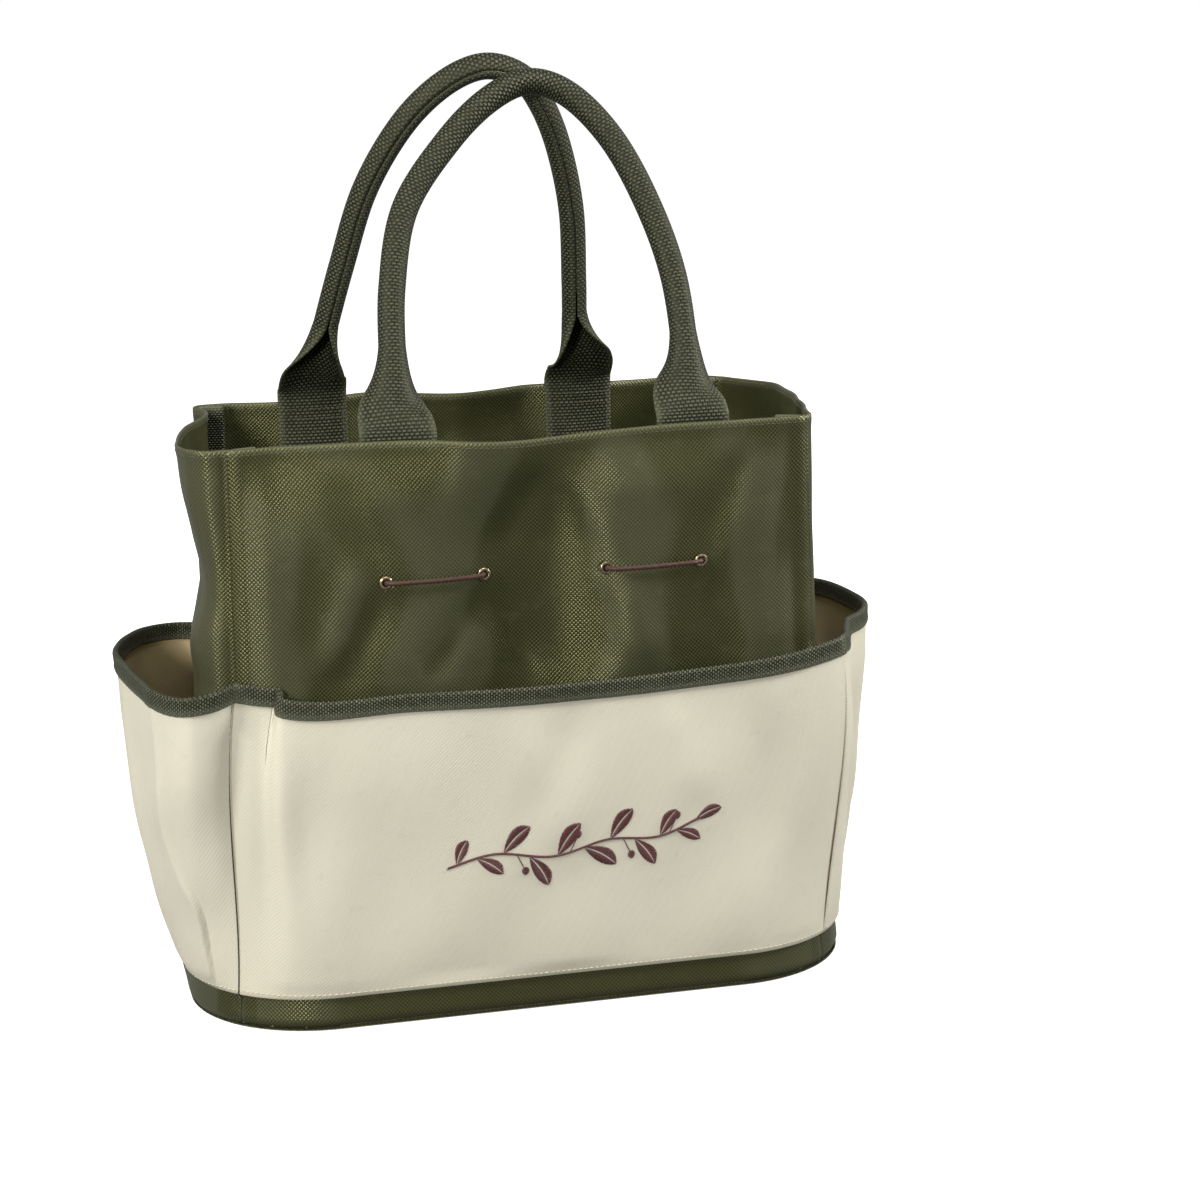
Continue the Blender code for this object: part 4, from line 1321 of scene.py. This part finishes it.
def build_handle_stitches(side):
    grid, across, from_end = handle_grids[side]
    normal = grid_normals(grid[:, ::-1])[:, ::-1]
    held = np.where(from_end > STRAP_SEAM_START)[0]
    column = int(np.argmin(np.abs(across - STRAP_SEAM)))
    way = normal[held, column]
    seam = [(grid[held, column] + way * STRAP / 2, way)]
    name, radius = side + "_handle_seam_stitches", THREAD["handle"]
    add_stitches(name, seam, HANDLE_STITCH, radius, DARK_THREAD, side + "_handle", "webbing")
    tab_lines = []
    for rows in (np.arange(0, TAB_ROWS), np.arange(len(from_end) - TAB_ROWS, len(from_end))):
        heights = grid[rows, TAB_MIDDLE, 2]
        span = rows[(heights >= TAB_LEVELS[-1]) & (heights <= TAB_LEVELS[0])]
        picks = [(rows[int(np.argmin(np.abs(heights - level)))], slice(1, -1)) for level in TAB_LEVELS]
        picks += [(span, column) for column in TAB_COLUMNS]
        for pick in picks:
            tab_lines.append((grid[pick] - normal[pick] * STRAP / 2, -normal[pick]))
    add_stitches(side + "_tab_stitches", tab_lines, TAB_STITCH, radius, OLIVE_THREAD, "bag", "webbing")


# ---- Embroidered sprig ----

STITCH_GAP = 0.00046
LEAF_ANGLE = math.radians(48)
STEM_HALF = 0.0007
BUD_STALK = (0.0045, 0.0095)
BUD_RADIUS = 0.0021
# Rows of share along the stem, x and z.
STEM = (
    (0.0, -0.052, 0.083), (0.18, -0.028, 0.089), (0.40, 0.004, 0.085), (0.62, 0.034, 0.091), (0.82, 0.062, 0.090),
    (1.0, 0.084, 0.098),
)
# Rows of share along the stem, side, length and half width.
LEAVES = (
    (0.04, 1, 0.014, 0.0034), (0.13, -1, 0.016, 0.0038), (0.22, 1, 0.019, 0.0044), (0.32, -1, 0.019, 0.0044),
    (0.42, 1, 0.020, 0.0046), (0.53, -1, 0.020, 0.0046), (0.63, 1, 0.019, 0.0043), (0.73, -1, 0.018, 0.0041),
    (0.82, 1, 0.016, 0.0037), (0.90, -1, 0.014, 0.0033), (0.985, 0, 0.015, 0.0034),
)
BUDS = ((0.27, -1), (0.47, 1), (0.68, -1), (0.86, 1))


def pocket_caster():
    grid = pocket_grids["front"]
    outer = grid + grid_normals(grid) * POCKET_CLOTH / 2
    rows, cols = grid.shape[:2]
    corners = [row * cols + col for row in range(rows - 1) for col in range(cols - 1)]
    faces = [(a, a + 1, a + cols + 1, a + cols) for a in corners]
    return BVHTree.FromPolygons([tuple(v) for v in outer.reshape(-1, 3)], faces)


def build_sprig():
    """A sprig of leaves and buds in satin stitch on the front pocket, a generic plant."""
    caster = pocket_caster()
    starts, ends, normals = [], [], []

    def on_cloth(x, z):
        hit, normal, _face, _far = caster.ray_cast(Vector((x, -0.4, z)), Vector((0.0, 1.0, 0.0)))
        return np.array(hit), np.array(-normal if normal.y > 0 else normal)

    def thread(x0, z0, x1, z1, lift=0.0):
        start, way = on_cloth(x0, z0)
        end, _ = on_cloth(x1, z1)
        starts.append(start + way * lift)
        ends.append(end + way * lift)
        normals.append(way)

    def leaf(x, z, turn, length, width):
        c, s = math.cos(turn), math.sin(turn)
        count = int(length / STITCH_GAP)
        for step in range(count):
            share = (step + 0.5) / count
            half = width * math.sin(math.pi * share**0.85) ** 0.8
            spine = share * length
            bend = width * 0.25 * math.sin(math.pi * share)
            for way in (-1, 1):
                root, tip = bend + way * 0.00015, bend + way * half
                reach = min(spine + half * 0.75, length) + random.uniform(-0.0002, 0.0002)
                inner = (x + spine * c - root * s, z + spine * s + root * c)
                outer = (x + reach * c - tip * s, z + reach * s + tip * c)
                thread(*inner, *outer)

    stem = curve_through(STEM, np.linspace(0, 1, 220))
    for (x0, z0), (x1, z1) in zip(stem, stem[3:]):
        side = unit(np.array([z0 - z1, x1 - x0])) * STEM_HALF
        thread(x0 - side[0], z0 - side[1], x1 + side[0], z1 + side[1], 0.00012)
    last = len(stem) - 1
    for share, way, length, width in LEAVES:
        index = int(share * last)
        x, z = stem[index]
        ahead = stem[min(index + 4, last)] - stem[max(index - 4, 0)]
        turn = math.atan2(ahead[1], ahead[0]) + way * LEAF_ANGLE
        leaf(x + way * 0.0006, z + way * 0.0006, turn, length, width)
    for share, way in BUDS:
        x, z = stem[int(share * last)]
        dx, dz = BUD_STALK[0], way * BUD_STALK[1]
        for step in range(14):
            a, b = step / 15, (step + 2) / 15
            thread(x + dx * a, z + dz * a, x + dx * b, z + dz * b, 0.00005)
        for step in range(11):
            half = BUD_RADIUS * math.sqrt(max(1 - ((step - 5) / 5.6) ** 2, 0))
            level = z + dz + (step - 5) * 0.00038
            thread(x + dx - half, level, x + dx + half, level + 0.0002, 0.0001)
    verts, faces = capsule_rows(starts, ends, normals, THREAD["sprig"], lift=0.35, sides=5)
    add_mesh("pocket_sprig_stitches", verts, faces, MAROON_THREAD, "bag", "lace")


# ---- Stage and light ----

FLOOR_HALF = 14.0
# Rows of name, place, aim, size, power and color.
LIGHTS = (
    ("key", (-2.00, -0.85, 1.60), (0.0, 0.0, 0.20), 0.55, 52.0, (1.0, 0.985, 0.94)),
    ("front", (-1.25, -2.2, 0.80), (0.0, 0.0, 0.20), 0.35, 32.0, (1.0, 0.99, 0.96)),
    ("right", (2.05, -0.30, 1.25), (0.0, 0.0, 0.18), 0.70, 56.0, (1.0, 0.985, 0.94)),
    ("top", (0.15, -1.0, 2.3), (0.0, 0.0, 0.25), 0.8, 24.0, (1.0, 1.0, 0.98)),
)


def build_floor():
    """A pale floor that the bag's own rays don't see. It glows, a little brighter toward its far parts; the weaker
    glow near the bag is a painted shadow.
    """
    mesh = bpy.data.meshes.new("floor")
    far = FLOOR_HALF
    mesh.from_pydata([(-far, -far, 0), (far, -far, 0), (far, far, 0), (-far, far, 0)], [], [(0, 1, 2, 3)])
    paper = bpy.data.materials.new("floor_paper")
    paper.use_nodes = True
    nodes, links = paper.node_tree.nodes, paper.node_tree.links
    shader = nodes["Principled BSDF"]
    shader.inputs["Base Color"].default_value = (0.90, 0.90, 0.90, 1.0)
    shader.inputs["Roughness"].default_value = 0.9
    shader.inputs["Specular IOR Level"].default_value = 0.1
    shader.inputs["Emission Color"].default_value = (1.0, 1.0, 1.0, 1.0)
    place = nodes.new("ShaderNodeTexCoord")
    length = nodes.new("ShaderNodeVectorMath")
    length.operation = "LENGTH"
    links.new(place.outputs["Object"], length.inputs[0])
    # Emission weaker near the middle, where the bag stands: a painted shadow on the floor.
    floor_glow_and_painted_shadow = nodes.new("ShaderNodeMapRange")
    floor_glow_and_painted_shadow.interpolation_type = "SMOOTHSTEP"
    for socket, value in zip(list(floor_glow_and_painted_shadow.inputs)[1:5], (0.3, 1.6, 0.52, 0.80)):
        socket.default_value = value
    links.new(length.outputs["Value"], floor_glow_and_painted_shadow.inputs[0])
    links.new(floor_glow_and_painted_shadow.outputs[0], shader.inputs["Emission Strength"])
    mesh.materials.append(paper)
    floor = bpy.data.objects.new("floor", mesh)
    floor.location.z = -0.0004
    floor.visible_diffuse = False
    floor.visible_glossy = False
    bpy.context.scene.collection.objects.link(floor)


def build_lights():
    for name, spot, aim, width, power, color in LIGHTS:
        light = bpy.data.lights.new(name, "AREA")
        light.size = width
        light.energy = power
        light.color = color
        lamp = bpy.data.objects.new(name, light)
        lamp.location = spot
        lamp.rotation_euler = (Vector(aim) - Vector(spot)).to_track_quat("-Z", "Y").to_euler()
        bpy.context.scene.collection.objects.link(lamp)


def build_world():
    """A white studio: what is seen behind the bag is brighter than the light it sheds on it."""
    world = bpy.data.worlds.new("studio")
    world.use_nodes = True
    tree = world.node_tree
    shown = tree.nodes["Background"]
    shown.inputs["Color"].default_value = (1.0, 1.0, 1.0, 1.0)
    shown.inputs["Strength"].default_value = 1.0
    shed = tree.nodes.new("ShaderNodeBackground")
    shed.inputs["Strength"].default_value = 0.36
    rays = tree.nodes.new("ShaderNodeLightPath")
    choose = tree.nodes.new("ShaderNodeMixShader")
    tree.links.new(rays.outputs["Is Camera Ray"], choose.inputs[0])
    tree.links.new(shed.outputs[0], choose.inputs[1])
    tree.links.new(shown.outputs[0], choose.inputs[2])
    tree.links.new(choose.outputs[0], tree.nodes["World Output"].inputs["Surface"])
    bpy.context.scene.world = world


def finish_cad_nodes():
    """The CAD nodes that stay shown get their own surface."""
    for name, material in (("base_board", BOARD), ("front_handle_core", CORE), ("rear_handle_core", CORE)):
        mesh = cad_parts[name].data
        mesh.materials.clear()
        mesh.materials.append(material)


build_walls()
build_base()
build_pockets()
build_seam_tapes()
build_handles()
build_eyelets()
build_lace()
build_stitches()
build_sprig()
finish_cad_nodes()
build_floor()
build_world()
build_lights()
bpy.context.scene.view_settings.view_transform = "Standard"
